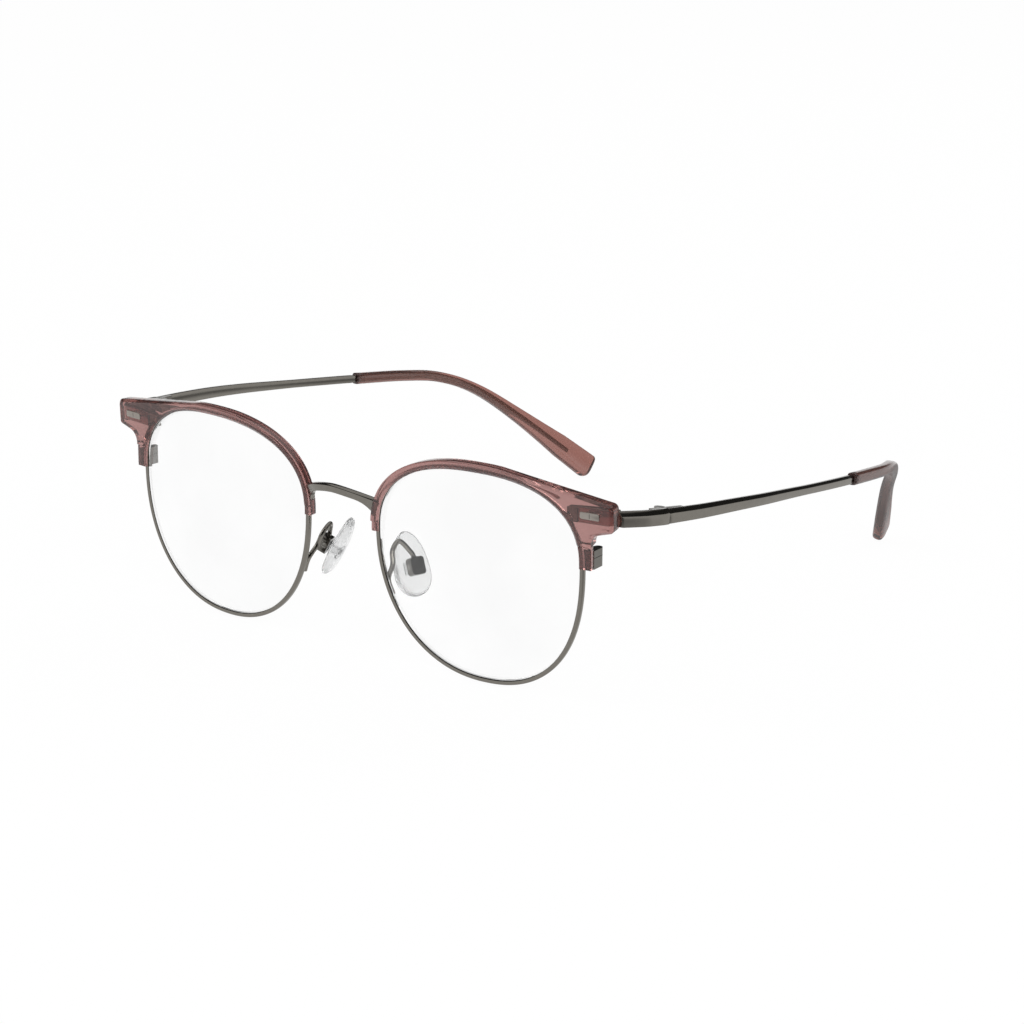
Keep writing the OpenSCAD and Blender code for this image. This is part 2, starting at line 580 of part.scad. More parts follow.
// Brow of clear rose acetate.
bridge_gap = 0.15;
module brow() difference() {
    lens_frame() loft([for (j = [0:len(outline) - 1]) brow_ring(j)]);
    lens_frame() translate([bridge_p[0] - nose_reach - 0.6,
        sag(bridge_p) - bridge_d / 2 - bridge_bow / 10 - bridge_gap,
        bridge_p[1] - bridge_h / 2 - web_h - bridge_gap])
        cube([nose_reach + 0.6 - groove_out + 0.45, 4, bridge_h + web_h + 1 + 2 * bridge_gap]);
    rim_foot(0.1);
    plaque_frame() plaque_box(0.02);
    plaque_frame() pins(0, block_deep + 1, run_gap);
}

// Hinge: three knuckles on one screw, two on the front and one on the temple.
knuckle_h = (bar_h - 0.1) / 3;
low_knuckle = -1.5 * knuckle_h;
leaf_clear = knuckle_r + 0.12;
leaf_step = 0.05;
module knuckle(z0, z1) translate([0, 0, z0]) cylinder(r = knuckle_r, h = z1 - z0);
module screw_hole() {
    translate([0, 0, -3]) cylinder(r = hinge_screw_r + run_gap, h = 6);
    translate([0, 0, -low_knuckle - hinge_head_t - end_gap])
        cylinder(r = hinge_head_r + run_gap, h = 2);
}
front_edge = [for (i = [0:len(bar_marks) - 1]) if (bar_marks[i][0] > -leaf_l) bar_plan(i)];
leaf_t = 0.6;
module front_hinge() hinge_frame() difference() {
    union() {
        knuckle(low_knuckle, -knuckle_h / 2 - end_gap / 2);
        knuckle(knuckle_h / 2 + end_gap / 2, -low_knuckle);
        difference() {
            translate([0, 0, low_knuckle]) linear_extrude(-2 * low_knuckle)
                polygon(concat([for (p = front_edge) [p[1] - touch, p[2]]],
                    [[0.3, 0], [front_edge[0][1] - leaf_t - 0.5, front_edge[0][2]]]));
            translate([0, 0, -knuckle_h / 2 - end_gap / 2 - leaf_step])
                cylinder(r = leaf_clear, h = knuckle_h + end_gap + 2 * leaf_step);
        }
    }
    screw_hole();
}
inner_face = face_out - bar_t;
module temple_hinge() hinge_frame() difference() {
    union() {
        knuckle(-knuckle_h / 2 + end_gap / 2, knuckle_h / 2 - end_gap / 2);
        difference() {
            translate([0, 0, low_knuckle]) linear_extrude(-2 * low_knuckle)
                polygon([[0.3, 0.1], [inner_face - touch, 0.1], [inner_at(1) - touch, arm_y(1)],
                    [inner_at(2) - touch, arm_y(2)], [inner_at(2) - leaf_t, arm_y(2)]]);
            for (side = [0, 1]) mirror([0, 0, side])
                translate([0, 0, knuckle_h / 2 - end_gap / 2 - leaf_step])
                cylinder(r = leaf_clear, h = 3);
        }
    }
    screw_hole();
}
module hinge_screw() hinge_frame() difference() {
    union() {
        translate([0, 0, low_knuckle]) cylinder(r = hinge_screw_r, h = -2 * low_knuckle - end_gap);
        translate([0, 0, -low_knuckle - hinge_head_t])
            cylinder(r = hinge_head_r, h = hinge_head_t);
    }
    translate([-1, -0.12, -low_knuckle - hinge_head_t / 2]) cube([2, 0.24, 1]);
}

// Temple: a flat arm that narrows, then runs on as the core of the acetate tip.
core_end = len(temple_route) - 1 - round(core_short / ear_l * 2 * mark_steps);
pocket_gap = 0.04;
core_h = 1.5;
function arm_h(i) = temple_route[i][1] < tip_start
    ? mix(arm_h0, arm_h1, ramp(run(i) / taper_l))
    : mix(core_h, core_t, ramp((run(i) - tip_start) / (temple_l - tip_start)));
function arm_w(i) = temple_route[i][1] < tip_start
    ? mix(bar_t, arm_t, ramp(run(i) / taper_l))
    : mix(arm_t - 0.1, core_t, ramp((run(i) - tip_start) / (temple_l - tip_start)));
function flat_section(w, h) = let(third = 0.3 * h, soft = 0.35 * w)
    [[-w / 2, h / 2], [-w / 2, -h / 2], [w / 2 - soft, -h / 2], [w / 2, -h / 2 + third],
        [w / 2, h / 2]];
function arm_ring(i, gap) = ring(temple_route[i], i == 0 ? [0, 1, 0] : travel_at(temple_route, i),
    [1, 0, 0], flat_section(arm_w(i) + 2 * gap, arm_h(i) + 2 * gap));
function inner_at(i) = arm_ring(i, 0)[0][0];
function arm_y(i) = arm_ring(i, 0)[0][1];
module temple_arm() hinge_frame() loft([for (i = [0:core_end]) arm_ring(i, 0)]);
module temple_tip() hinge_frame() difference() {
    loft(tip_rings);
    loft([for (i = [first_tip - 2:core_end]) arm_ring(i, pocket_gap)]);
}

// Closing block on the cut ends of the rim: two halves and a screw from below.
clamp_p = wire_at(cut_angle, 0);
clamp_turn = atan(cut_up / lens_r);
clamp_tab = 0.75;
module clamp_frame() lens_frame()
    translate([leg_x - 0.1, sag(clamp_p) + wire_d / 2 + 4 * touch, cut_up])
    rotate([-clamp_turn, 0, 0]) children();
module clamp_plan() {
    translate([-leg_x + clamp_p[0] - wire_w / 2, 0]) square([leg_x - clamp_p[0] + wire_w / 2, clamp_tab]);
    translate([-clamp_w, 0]) square([clamp_w, clamp_d + clamp_tab - clamp_w / 2]);
    translate([-clamp_w / 2, clamp_d + clamp_tab - clamp_w / 2]) circle(r = clamp_w / 2);
}
clamp_axis = clamp_tab + clamp_d / 2;
clamp_head = 0.5;
module clamp_bore(from, to, r) translate([-clamp_w / 2, clamp_axis, from])
    cylinder(r = r, h = to - from);
module clamp_upper() clamp_frame() difference() {
    translate([0, 0, rim_cut / 2]) linear_extrude(block_up) clamp_plan();
    clamp_bore(-1, block_up - 0.3, clamp_screw_r + run_gap);
}
module clamp_lower() clamp_frame() difference() {
    translate([0, 0, -rim_cut / 2 - block_down]) linear_extrude(block_down) clamp_plan();
    clamp_bore(-5, 1, clamp_screw_r + run_gap);
    clamp_bore(-5, -rim_cut / 2 - block_down + clamp_head, 0.3 + clamp_screw_r + run_gap);
}
module clamp_screw() clamp_frame() difference() {
    union() {
        clamp_bore(-rim_cut / 2 - block_down, block_up - 0.4, clamp_screw_r);
        clamp_bore(-rim_cut / 2 - block_down, -rim_cut / 2 - block_down + clamp_head - 0.05,
            0.3 + clamp_screw_r);
    }
    translate([-clamp_w / 2 - 1, clamp_axis - 0.12, -block_down - 1]) cube([2, 0.24, 1.2]);
}

// Nose pad on its insert, whose lug rocks on a screw in the box of the pad arm.
pad_front = 1.75;
pad_rear = pad_t - pad_front;
lug_x = 2.35;
lug_r = 0.7;
lug_t = box_w - 2 * box_wall - 0.1;
box_aside = -0.4;
box_from = 1.55;
box_deep = 2.1;
neck_h = 1.1;
flange_x = -0.5;
flange = 2.6;
box_up = -0.9;
box_round = 0.7;
function pad_share(i) = -cos(180 * (i + 0.5) / pad_rings);
pad_rings = 14;
pad_count = 20;
function pad_ring(i) = let(s = pad_share(i), full = pow(1 - pow(abs(s), s < 0 ? 2.6 : 2.2), 0.5),
        narrow = 1 - 0.18 * s)
    [for (k = [0:pad_count - 1]) let(a = 360 * k / pad_count)
        [(cos(a) > 0 ? pad_rear : pad_front) * cos(a) * pow(full, 0.8),
            pad_w / 2 * sin(a) * full * narrow, s * pad_l / 2]];
module insert(gap) {
    translate([flange_x - gap, box_aside - flange / 2 - gap, -flange / 2 - gap])
        cube([0.5 + 2 * gap, flange + 2 * gap, flange + 2 * gap]);
    translate([flange_x, box_aside - lug_t / 2 - gap, -neck_h / 2 - gap])
        cube([lug_x - flange_x, lug_t + 2 * gap, neck_h + 2 * gap]);
}
module nose_pad() pad_frame() difference() {
    loft([for (i = [0:pad_rings - 1]) pad_ring(i)]);
    translate([0, 0, box_up]) insert(0.02);
}
module across(r, from, to) translate([lug_x, from, 0]) rotate([-90, 0, 0])
    cylinder(r = r, h = to - from);
module box_frame() pad_frame() translate([0, 0, box_up]) children();
module pad_insert() box_frame() difference() {
    union() {
        insert(0);
        across(lug_r, box_aside - lug_t / 2, box_aside + lug_t / 2);
    }
    across(pad_screw_r + run_gap, -5, 5);
}
box_side = box_w / 2;
pad_head = 0.3;
module pad_box() box_frame() difference() {
    translate([box_from, box_aside, 0]) rotate([90, 0, 90]) linear_extrude(box_deep)
        offset(r = box_round)
        square([box_w - 2 * box_round, box_h - 2 * box_round], center = true);
    translate([box_from - 1, box_aside - box_side + box_wall, -box_h / 2 + box_wall])
        cube([box_deep + 1 - 0.5, box_w - 2 * box_wall, box_h - 2 * box_wall]);
    across(pad_screw_r + run_gap, -5, 5);
    across(0.2 + pad_screw_r + run_gap, -5, box_aside - box_side + pad_head);
}
module pad_screw() box_frame() difference() {
    union() {
        across(pad_screw_r, box_aside - box_side, box_aside + box_side);
        across(0.2 + pad_screw_r, box_aside - box_side, box_aside - box_side + pad_head - 0.04);
    }
    translate([lug_x - 1, box_aside - box_side - 0.5, -0.1]) cube([2, 0.62, 0.2]);
}

// Pad arm: a bent wire from the back of the rim to the top of the box.
arm_top = from_pad([box_from + box_deep / 2, box_aside, box_up + box_h / 2 + touch]);
arm_angle = 213;
arm_wire = wire_at(arm_angle, 0);
arm_foot = from_lens(place(arm_wire, sag(arm_wire) + wire_d / 2 + pad_wire / 2 + 3 * touch));
foot_next_p = wire_at(arm_angle - 7, 0);
foot_next = from_lens(place(foot_next_p, sag(foot_next_p) + wire_d / 2 + pad_wire / 2 + 20 * touch));
arm_route = route_through([arm_foot, foot_next, [10.5, 4.4, lift - 2.7], [9.7, 5.3, lift],
    [9.6, 7.6, lift + 1.5], arm_top + [-0.55, -0.45, 1.15], arm_top], 5);
function round_section(r, count) = [for (i = [0:count - 1])
    r * [cos(360 * i / count), sin(360 * i / count)]];
module pad_arm() translate([0, y_shift, 0]) loft([for (i = [0:len(arm_route) - 1])
    ring(arm_route[i], i == len(arm_route) - 1 ? -pad_up : travel_at(arm_route, i), [1, 0, 0],
        round_section(pad_wire / 2, 12))]);

module bridge() color(metal) front_frame() loft(bridge_rings);
module left_eyewire() color(metal) mirrored(1) eyewire();
module left_lens() color(clear) mirrored(1) lens();
module left_brow() color(rose) mirrored(1) brow();
module left_brow_rivet() color(bright) mirrored(1) brow_rivet();
module left_end_piece() color(metal) mirrored(1) end_piece();
module left_front_hinge() color(metal) mirrored(1) front_hinge();
module left_hinge_screw() color(bright) mirrored(1) hinge_screw();
module left_clamp_upper() color(metal) mirrored(1) clamp_upper();
module left_clamp_lower() color(metal) mirrored(1) clamp_lower();
module left_clamp_screw() color(bright) mirrored(1) clamp_screw();
module left_pad_arm() color(metal) mirrored(1) pad_arm();
module left_pad_box() color(metal) mirrored(1) pad_box();
module left_pad_screw() color(bright) mirrored(1) pad_screw();
module left_pad_insert() color(bright) mirrored(1) pad_insert();
module left_nose_pad() color(clear) mirrored(1) nose_pad();
module left_temple_hinge() color(metal) mirrored(1) temple_hinge();
module left_temple_arm() color(metal) mirrored(1) temple_arm();
module left_temple_tip() color(mauve) mirrored(1) temple_tip();
module right_eyewire() color(metal) mirrored(-1) eyewire();
module right_lens() color(clear) mirrored(-1) lens();
module right_brow() color(rose) mirrored(-1) brow();
module right_brow_rivet() color(bright) mirrored(-1) brow_rivet();
module right_end_piece() color(metal) mirrored(-1) end_piece();
module right_front_hinge() color(metal) mirrored(-1) front_hinge();
module right_hinge_screw() color(bright) mirrored(-1) hinge_screw();
module right_clamp_upper() color(metal) mirrored(-1) clamp_upper();
module right_clamp_lower() color(metal) mirrored(-1) clamp_lower();
module right_clamp_screw() color(bright) mirrored(-1) clamp_screw();
module right_pad_arm() color(metal) mirrored(-1) pad_arm();
module right_pad_box() color(metal) mirrored(-1) pad_box();
module right_pad_screw() color(bright) mirrored(-1) pad_screw();
module right_pad_insert() color(bright) mirrored(-1) pad_insert();
module right_nose_pad() color(clear) mirrored(-1) nose_pad();
module right_temple_hinge() color(metal) mirrored(-1) temple_hinge();
module right_temple_arm() color(metal) mirrored(-1) temple_arm();
module right_temple_tip() color(mauve) mirrored(-1) temple_tip();

bridge();
left_eyewire();
left_lens();
left_brow();
left_brow_rivet();
left_end_piece();
left_front_hinge();
left_hinge_screw();
left_clamp_upper();
left_clamp_lower();
left_clamp_screw();
left_pad_arm();
left_pad_box();
left_pad_screw();
left_pad_insert();
left_nose_pad();
left_temple_hinge();
left_temple_arm();
left_temple_tip();
right_eyewire();
right_lens();
right_brow();
right_brow_rivet();
right_end_piece();
right_front_hinge();
right_hinge_screw();
right_clamp_upper();
right_clamp_lower();
right_clamp_screw();
right_pad_arm();
right_pad_box();
right_pad_screw();
right_pad_insert();
right_nose_pad();
right_temple_hinge();
right_temple_arm();
right_temple_tip();
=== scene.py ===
import json
import math

import bmesh
import bpy
from mathutils import Matrix, Vector


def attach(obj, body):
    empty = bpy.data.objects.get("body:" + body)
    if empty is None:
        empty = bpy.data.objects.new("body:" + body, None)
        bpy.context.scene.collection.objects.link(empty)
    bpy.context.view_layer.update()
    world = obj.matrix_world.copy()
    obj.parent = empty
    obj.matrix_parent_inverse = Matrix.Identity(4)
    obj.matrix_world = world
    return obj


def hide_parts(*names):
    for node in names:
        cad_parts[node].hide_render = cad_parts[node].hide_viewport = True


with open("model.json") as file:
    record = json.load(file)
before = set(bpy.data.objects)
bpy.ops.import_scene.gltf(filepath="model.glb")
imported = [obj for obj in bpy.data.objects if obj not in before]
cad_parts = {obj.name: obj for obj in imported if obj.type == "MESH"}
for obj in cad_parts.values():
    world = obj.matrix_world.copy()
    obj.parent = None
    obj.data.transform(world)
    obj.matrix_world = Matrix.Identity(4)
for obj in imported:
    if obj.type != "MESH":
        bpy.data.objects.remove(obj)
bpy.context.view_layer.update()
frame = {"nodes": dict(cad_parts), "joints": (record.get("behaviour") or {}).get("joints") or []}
NODES = frame["nodes"]
JOINTS = {j["name"]: j for j in frame["joints"]}
SIDES = (("left", 1), ("right", -1))
MM = 0.001

# Sizes in millimetres and degrees, the same as the solids have.
LENS_W, LENS_H, LENS_GAP = 49.0, 45.3, 19.6
WIDEST_UP, CREST_OUT = 6.2, 0.9
FULL = {(True, True): 2.38, (True, False): 2.3, (False, False): 2.17, (False, True): 2.32}
LENS_R, LENS_T = 123.0, 1.2
WRAP, LEAN = 4.0, 5.0
WIRE_W, WIRE_D, BEVEL_SEAT, BEVEL_GAP = 0.95, 1.05, 0.12, 0.03
RIM_CUT, CUT_UP = 0.1, 8.0
BROW_REACH, NOSE_REACH = 1.55, 1.35
BROW_FRONT, TAB_FRONT, BROW_BACK, BLOCK_BACK, LEG_BACK = 1.6, 0.95, 1.0, 0.4, 0.4
BLOCK_SLOPE = 2.0
GROOVE_GAP, LIP_IN, SLOPE_W, SLOPE_FALL = 0.05, 0.4, 0.75, 0.6
EDGE_BEVEL, BLOCK_BEVEL, TAB_BEVEL, BROW_SOFT = 0.25, 0.6, 0.15, 0.15
BLOCK_X, BLOCK_TOP, BLOCK_LOW = 32.2, 20.1, 14.5
LEG_X, LEG_TOP, LEG_FOOT, RAISED_FOOT = 27.0, 13.1, 5.9, 10.9
LEG_FILLET, TOP_ROUND, LOW_ROUND = 2.4, 1.3, 1.1
TOP_JOIN, NOSE_END, NOSE_STEP = 72.0, 182.0, 177.0
KNEE_ANGLES, LOW_ANGLES, TOP_ANGLES = (13.5, 17.5), (19.5, 21.5), (29.0, 33.0)
NARROW_FROM, NARROW_OVER = 110.0, 60.0
PLAQUE_X, PLAQUE_Z, PLAQUE_L, PLAQUE_H, PLAQUE_PROUD = 27.1, 17.5, 4.4, 1.5, 0.12
PLAQUE_T, PLAQUE_ROUND, PIN_PITCH, PIN_R = 0.4, 0.35, 2.4, 0.45
BAR_H, BAR_T, PLATE_T, PLATE_Z, FACE_OUT, HINGE_Y = 3.2, 1.35, 1.0, 16.8, 2.6, 17.3
PLATE_IN, PLATE_OUT, PLATE_GAP = 21.5, 31.9, 0.13
FOOT_W, FOOT_H, FOOT_IN, FOOT_ANGLE = 2.4, 3.0, 0.3, 27.0
ARM_H0, ARM_H1, ARM_T, TAPER_L = 3.0, 1.9, 1.2, 50.0
TIP_START, TIP_H0, TIP_WAIST, TIP_H1, TIP_T0, TIP_T1 = 71.0, 2.7, 2.6, 6.5, 2.4, 3.0
BEND_Y, EAR_L, EAR_DROP, EAR_TUCK = 99.0, 49.5, 28.0, 29.0
TIP_ROUND, TOP_TURN, LOW_TURN = 0.8, 0.9, 2.0
CORE_T, CORE_H, CORE_SHORT, CORE_LESS, WAIST_AT = 0.9, 1.5, 8.0, 0.1, 0.45
BRIDGE_H, BRIDGE_D, BRIDGE_ANGLE = 1.7, 1.2, 169.5
BRIDGE_RISE, BRIDGE_BOW, WEB_H = 2.7, 3.3, 2.0
PAD_X, PAD_Y, PAD_DOWN, PAD_LEAN, PAD_SPLAY = 10.1, 10.9, 4.1, 25.0, 20.0
PAD_L, PAD_W, PAD_T, PAD_FRONT, PAD_WIRE = 14.0, 8.5, 2.8, 1.75, 1.05
BOX_FROM, BOX_DEEP, BOX_H, BOX_ASIDE, BOX_UP = 1.55, 2.1, 3.8, -0.4, -0.9
TOUCH = 0.01

# Sizes of the scene alone: eased edges, curves of the shapes, line on the plaque.
WIRE_EASE, WIRE_CROWN, WIRE_ROUND = 0.12, 0.04, 0.08
LENS_EASE_W, LENS_EASE_T = 0.15, 0.03
BROW_ROUND, FLAT_ROUND, BOX_ROUND = 0.07, 0.13, 0.15
END_EASE, END_SCALE, FITTING_EASE, BLOCK_EASE = 0.06, 0.93, 0.12, 0.3
EASE_MID_DEPTH, EASE_MID_LESS, BEVEL_UP, BEVEL_IN = 0.4, 0.35, 0.3, 0.35
BRIDGE_EASE, BRIDGE_TOP_EASE, BRIDGE_ROUND = 0.12, 0.3, 0.1
BOW_CURVE, RISE_CURVE, WEB_FROM, WEB_CURVE = 1.9, 1.7, 0.55, 2.2
TIP_FULL, TIP_POINTS = 3.2, 40
PAD_LOW_FULL, PAD_TOP_FULL, PAD_NARROW, PAD_CROWN = 2.6, 2.2, 0.18, 0.8
PLAQUE_EASE, PIN_LAP, PIN_PAST = 0.07, 0.1, 0.4
LINE_W, LINE_SHORT, LINE_ROUND = 0.14, 0.25, 0.03
# Rings of the tip: (along, loss of size) at its start, distance from its end.
TIP_FIRST = ((0.0, 0.5), (0.05, 0.2), (0.2, 0.0))
TIP_LAST = (2.2, 1.9, 1.6, 1.3, 1.0, 0.75, 0.5, 0.3, 0.15, 0.06, 0.02)


def cosd(a):
    return math.cos(math.radians(a))


def sind(a):
    return math.sin(math.radians(a))


def mix(a, b, t):
    return a + (b - a) * t


def ramp(t):
    return min(max(t, 0.0), 1.0)


# Lens outline. Points of the lens plane are (across, up) from the lens's middle.
def lens_edge(a):
    """Point of the lens's edge at an angle."""
    c, s = cosd(a), sind(a)
    half_w = LENS_W / 2 - CREST_OUT if c > 0 else LENS_W / 2 + CREST_OUT
    half_h = LENS_H / 2 - WIDEST_UP if s > 0 else LENS_H / 2 + WIDEST_UP
    n = FULL[(s > 0, c > 0)]
    reach = ((abs(c) / half_w) ** n + (abs(s) / half_h) ** n) ** (-1 / n)
    return Vector((CREST_OUT + reach * c, WIDEST_UP + reach * s))


def edge_out(a):
    """Outward direction at that point."""
    d = lens_edge(a + 0.5) - lens_edge(a - 0.5)
    return Vector((d.y, -d.x)).normalized()


def wire_at(a, out=0.0):
    """Middle of the rim wire, or a point that far outside it."""
    return lens_edge(a) + (BEVEL_SEAT + out) * edge_out(a)


def sag(p):
    """How far the lens's curve falls back at a point."""
    return p.length_squared / (2 * LENS_R)


def place(p, back):
    """A point of the lens plane, moved back."""
    return Vector((p.x, back, p.y))


def rot(axis, degrees):
    return Matrix.Rotation(math.radians(degrees), 4, axis)


# Frames of the front, a lens, a hinge and a pad, for the wearer's left side. The
# lowest point of the rims stands on the floor.
LENS_X = LENS_GAP / 2 + cosd(WRAP) * LENS_W / 2
TILT = rot("X", LEAN) @ Matrix.Translation((LENS_X, 0, 0)) @ rot("Z", WRAP)
LIFT = -min(
    (TILT @ place(wire_at(a * 1.25, WIRE_W / 2), sag(wire_at(a * 1.25)) + b * WIRE_D)).z
    for a in range(288)
    for b in (-0.5, 0.5)
)
fold = JOINTS["left_temple_fold"]
HINGE_POS = Vector(fold["pos_m"]) / MM
SLOPE = math.degrees(math.atan2(fold["axis"][1], fold["axis"][2]))
SHIFT = HINGE_POS.y - HINGE_Y
FRONT = Matrix.Translation((0, SHIFT, LIFT)) @ rot("X", LEAN)
LENS = Matrix.Translation((0, SHIFT, LIFT)) @ TILT
HINGE = Matrix.Translation(HINGE_POS) @ rot("X", -SLOPE)
PAD = (
    Matrix.Translation((PAD_X, PAD_Y + SHIFT, LIFT - PAD_DOWN))
    @ rot("Z", -PAD_SPLAY)
    @ rot("Y", -PAD_LEAN)
)


# Materials. Each is a node tree with its own fine texture.
WHITE = (1, 1, 1, 1)


def material(name, color, **sockets):
    m = bpy.data.materials.new(name)
    m.use_nodes = True
    b = m.node_tree.nodes["Principled BSDF"]
    b.inputs["Base Color"].default_value = (*color, 1)
    for key, value in sockets.items():
        b.inputs[key.replace("_", " ")].default_value = value
    return m, b


def add(m, kind, **inputs):
    n = m.node_tree.nodes.new(kind)
    for key, value in inputs.items():
        n.inputs[key].default_value = value
    return n


def stretched(m, scale):
    """Object coordinates, stretched."""
    at = add(m, "ShaderNodeTexCoord")
    mp = add(m, "ShaderNodeMapping")
    mp.inputs["Scale"].default_value = scale
    m.node_tree.links.new(at.outputs["Object"], mp.inputs["Vector"])
    return mp.outputs["Vector"]


def noise(m, vector, scale, detail=2.0):
    n = add(m, "ShaderNodeTexNoise", Scale=scale, Detail=detail)
    m.node_tree.links.new(vector, n.inputs["Vector"])
    return n.outputs["Fac"]


def ramped(m, source, stops):
    """A colour ramp over a value; stops are (position, colour)."""
    r = m.node_tree.nodes.new("ShaderNodeValToRGB")
    e = r.color_ramp.elements
    for i, (at, color) in enumerate(stops):
        stop = e[i] if i < 2 else e.new(at)
        stop.position = at
        stop.color = (*color, 1)
    m.node_tree.links.new(source, r.inputs["Fac"])
    return r.outputs["Color"]


def bump(m, b, height, strength, distance):
    n = add(m, "ShaderNodeBump", Strength=strength, Distance=distance)
    m.node_tree.links.new(height, n.inputs["Height"])
    m.node_tree.links.new(n.outputs["Normal"], b.inputs["Normal"])


def metal(name, color, rough, grain=(1, 1, 1)):
    """Metal with a fine grain."""
    m, b = material(name, color, Metallic=1.0, Roughness=rough)
    fine = noise(m, stretched(m, grain), 900.0)
    dull, bright = [c * 0.96 for c in color], [c * 1.04 for c in color]
    tone = ramped(m, fine, [(0.3, dull), (0.7, bright)])
    m.node_tree.links.new(tone, b.inputs["Base Color"])
    bump(m, b, fine, 0.02, 0.00002)
    return m


def clear(name, color, rough, ior, through, scale):
    """Clear glass or silicone with faint clouds."""
    m, b = material(name, color, Roughness=rough, IOR=ior, Transmission_Weight=through)
    cloud = noise(m, stretched(m, (1, 1, 1)), scale, 3.0)
    tone = ramped(m, cloud, [(0.35, [c * 0.96 for c in color]), (0.65, color)])
    m.node_tree.links.new(tone, b.inputs["Base Color"])
    return m


def acetate(name, color, through, tint, density, rough, scale):
    """Clear, slightly milky acetate, tinted at its faces and by its depth."""
    m, b = material(name, color, Roughness=rough, IOR=1.49, Transmission_Weight=through)
    body = add(m, "ShaderNodeVolumeAbsorption", Density=density)
    body.inputs["Color"].default_value = (*tint, 1)
    out = m.node_tree.nodes["Material Output"]
    m.node_tree.links.new(body.outputs[0], out.inputs["Volume"])
    cloud = noise(m, stretched(m, (1, 1, 1)), scale, 3.0)
    dull, bright = [c * 0.95 for c in color], [c * 1.03 for c in color]
    tone = ramped(m, cloud, [(0.35, dull), (0.65, bright)])
    m.node_tree.links.new(tone, b.inputs["Base Color"])
    return m


GUNMETAL = metal("gunmetal", (0.19, 0.178, 0.158), 0.14)
DARK = metal("dark_gunmetal", (0.14, 0.133, 0.12), 0.14)
BRUSHED = metal("brushed_metal", (0.3, 0.272, 0.246), 0.24, (1, 12, 12))
SCREW = metal("screw_metal", (0.28, 0.27, 0.25), 0.25)
LINE = metal("insert_metal", (0.07, 0.066, 0.06), 0.3)
TIP_CORE = metal("tip_core_metal", (0.3, 0.27, 0.24), 0.3)
PLATE_FACE = metal("plate_metal", (0.92, 0.88, 0.85), 0.3)
ROSE = acetate("rose_acetate", (0.52, 0.3, 0.285), 0.93, (0.33, 0.08, 0.01), 150.0, 0.02, 60.0)
MAUVE = acetate("mauve_acetate", (0.5, 0.285, 0.255), 0.93, (0.4, 0.1, 0.0), 230.0, 0.03, 50.0)
GLASS = clear("lens_glass", (0.997, 0.998, 0.998), 0.0, 1.5, 1.0, 40.0)
SILICONE = clear("clear_silicone", (0.93, 0.935, 0.935), 0.25, 1.41, 0.9, 60.0)


def build(name, points, faces, mat, side, body, nodes, slot, sharp=30):
    """A piece from points in millimetres, mirrored for the right side."""
    mesh = bpy.data.meshes.new(name)
    mesh.from_pydata([(p.x * side * MM, p.y * MM, p.z * MM) for p in points], [], faces)
    work = bmesh.new()
    work.from_mesh(mesh)
    bmesh.ops.recalc_face_normals(work, faces=work.faces)
    work.to_mesh(mesh)
    work.free()
    mesh.polygons.foreach_set("use_smooth", [True] * len(mesh.polygons))
    mesh.set_sharp_from_angle(angle=math.radians(sharp))
    mesh.materials.append(mat)
    obj = bpy.data.objects.new(name, mesh)
    bpy.context.scene.collection.objects.link(obj)
    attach(obj, body)
    if nodes:
        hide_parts(*nodes)
    return obj


def skin(rings, caps=True):
    """Points and faces of a row of closed rings."""
    m, n = len(rings[0]), len(rings)
    points = [p for r in rings for p in r]
    faces = [
        (i * m + j, i * m + (j + 1) % m, (i + 1) * m + (j + 1) % m, (i + 1) * m + j)
        for i in range(n - 1)
        for j in range(m)
    ]
    if caps:
        faces += [tuple(range(m)), tuple((n - 1) * m + j for j in range(m))]
    return points, faces


def joined(*shells):
    """Several closed shells as one set of points and faces."""
    points, faces = [], []
    for some, their_faces in shells:
        faces += [tuple(len(points) + i for i in f) for f in their_faces]
        points += some
    return points, faces


def rounded(ring, r, count=3):
    """A closed ring of points with each corner rounded."""
    out = []
    for i, c in enumerate(ring):
        before, after = ring[i - 1] - c, ring[(i + 1) % len(ring)] - c
        a = c + before.normalized() * min(r, before.length * 0.45)
        b = c + after.normalized() * min(r, after.length * 0.45)
        for k in range(count):
            t = k / (count - 1)
            out.append(a * (1 - t) ** 2 + c * 2 * t * (1 - t) + b * t * t)
    return out


ASIDE = Vector((1, 0, 0))


def moved(matrix, rings):
    return [[matrix @ p for p in r] for r in rings]


def ring(p, way, aside, section):
    """A section, (aside, across) points, square to the way of the route."""
    s = (aside - aside.dot(way) * way).normalized()
    k = way.cross(s)
    return [p + q[0] * s + q[1] * k for q in section]


def travel(route, i):
    """Direction of a route at one of its points."""
    return (route[min(i + 1, len(route) - 1)] - route[max(i - 1, 0)]).normalized()


def smooth_route(marks, steps):
    """A smooth route through the marks, with as many steps between each pair."""
    ends = [2 * marks[0] - marks[1], *marks, 2 * marks[-1] - marks[-2]]
    out = []
    for a, b, c, d in zip(ends, ends[1:], ends[2:], ends[3:]):
        for k in range(steps):
            t = k / steps
            out.append(
                0.5 * (2 * b + (c - a) * t + (2 * a - 5 * b + 4 * c - d) * t * t
                       + (3 * b - a - 3 * c + d) * t ** 3)
            )
    return out + [marks[-1]]


def oval(w, h, full, count):
    """A section that goes from an ellipse towards a box as it gets fuller."""
    out = []
    for i in range(count):
        c, s = math.cos(2 * math.pi * i / count), math.sin(2 * math.pi * i / count)
        out.append((
            math.copysign(w / 2 * abs(c) ** (2 / full), c),
            math.copysign(h / 2 * abs(s) ** (2 / full), s),
        ))
    return out


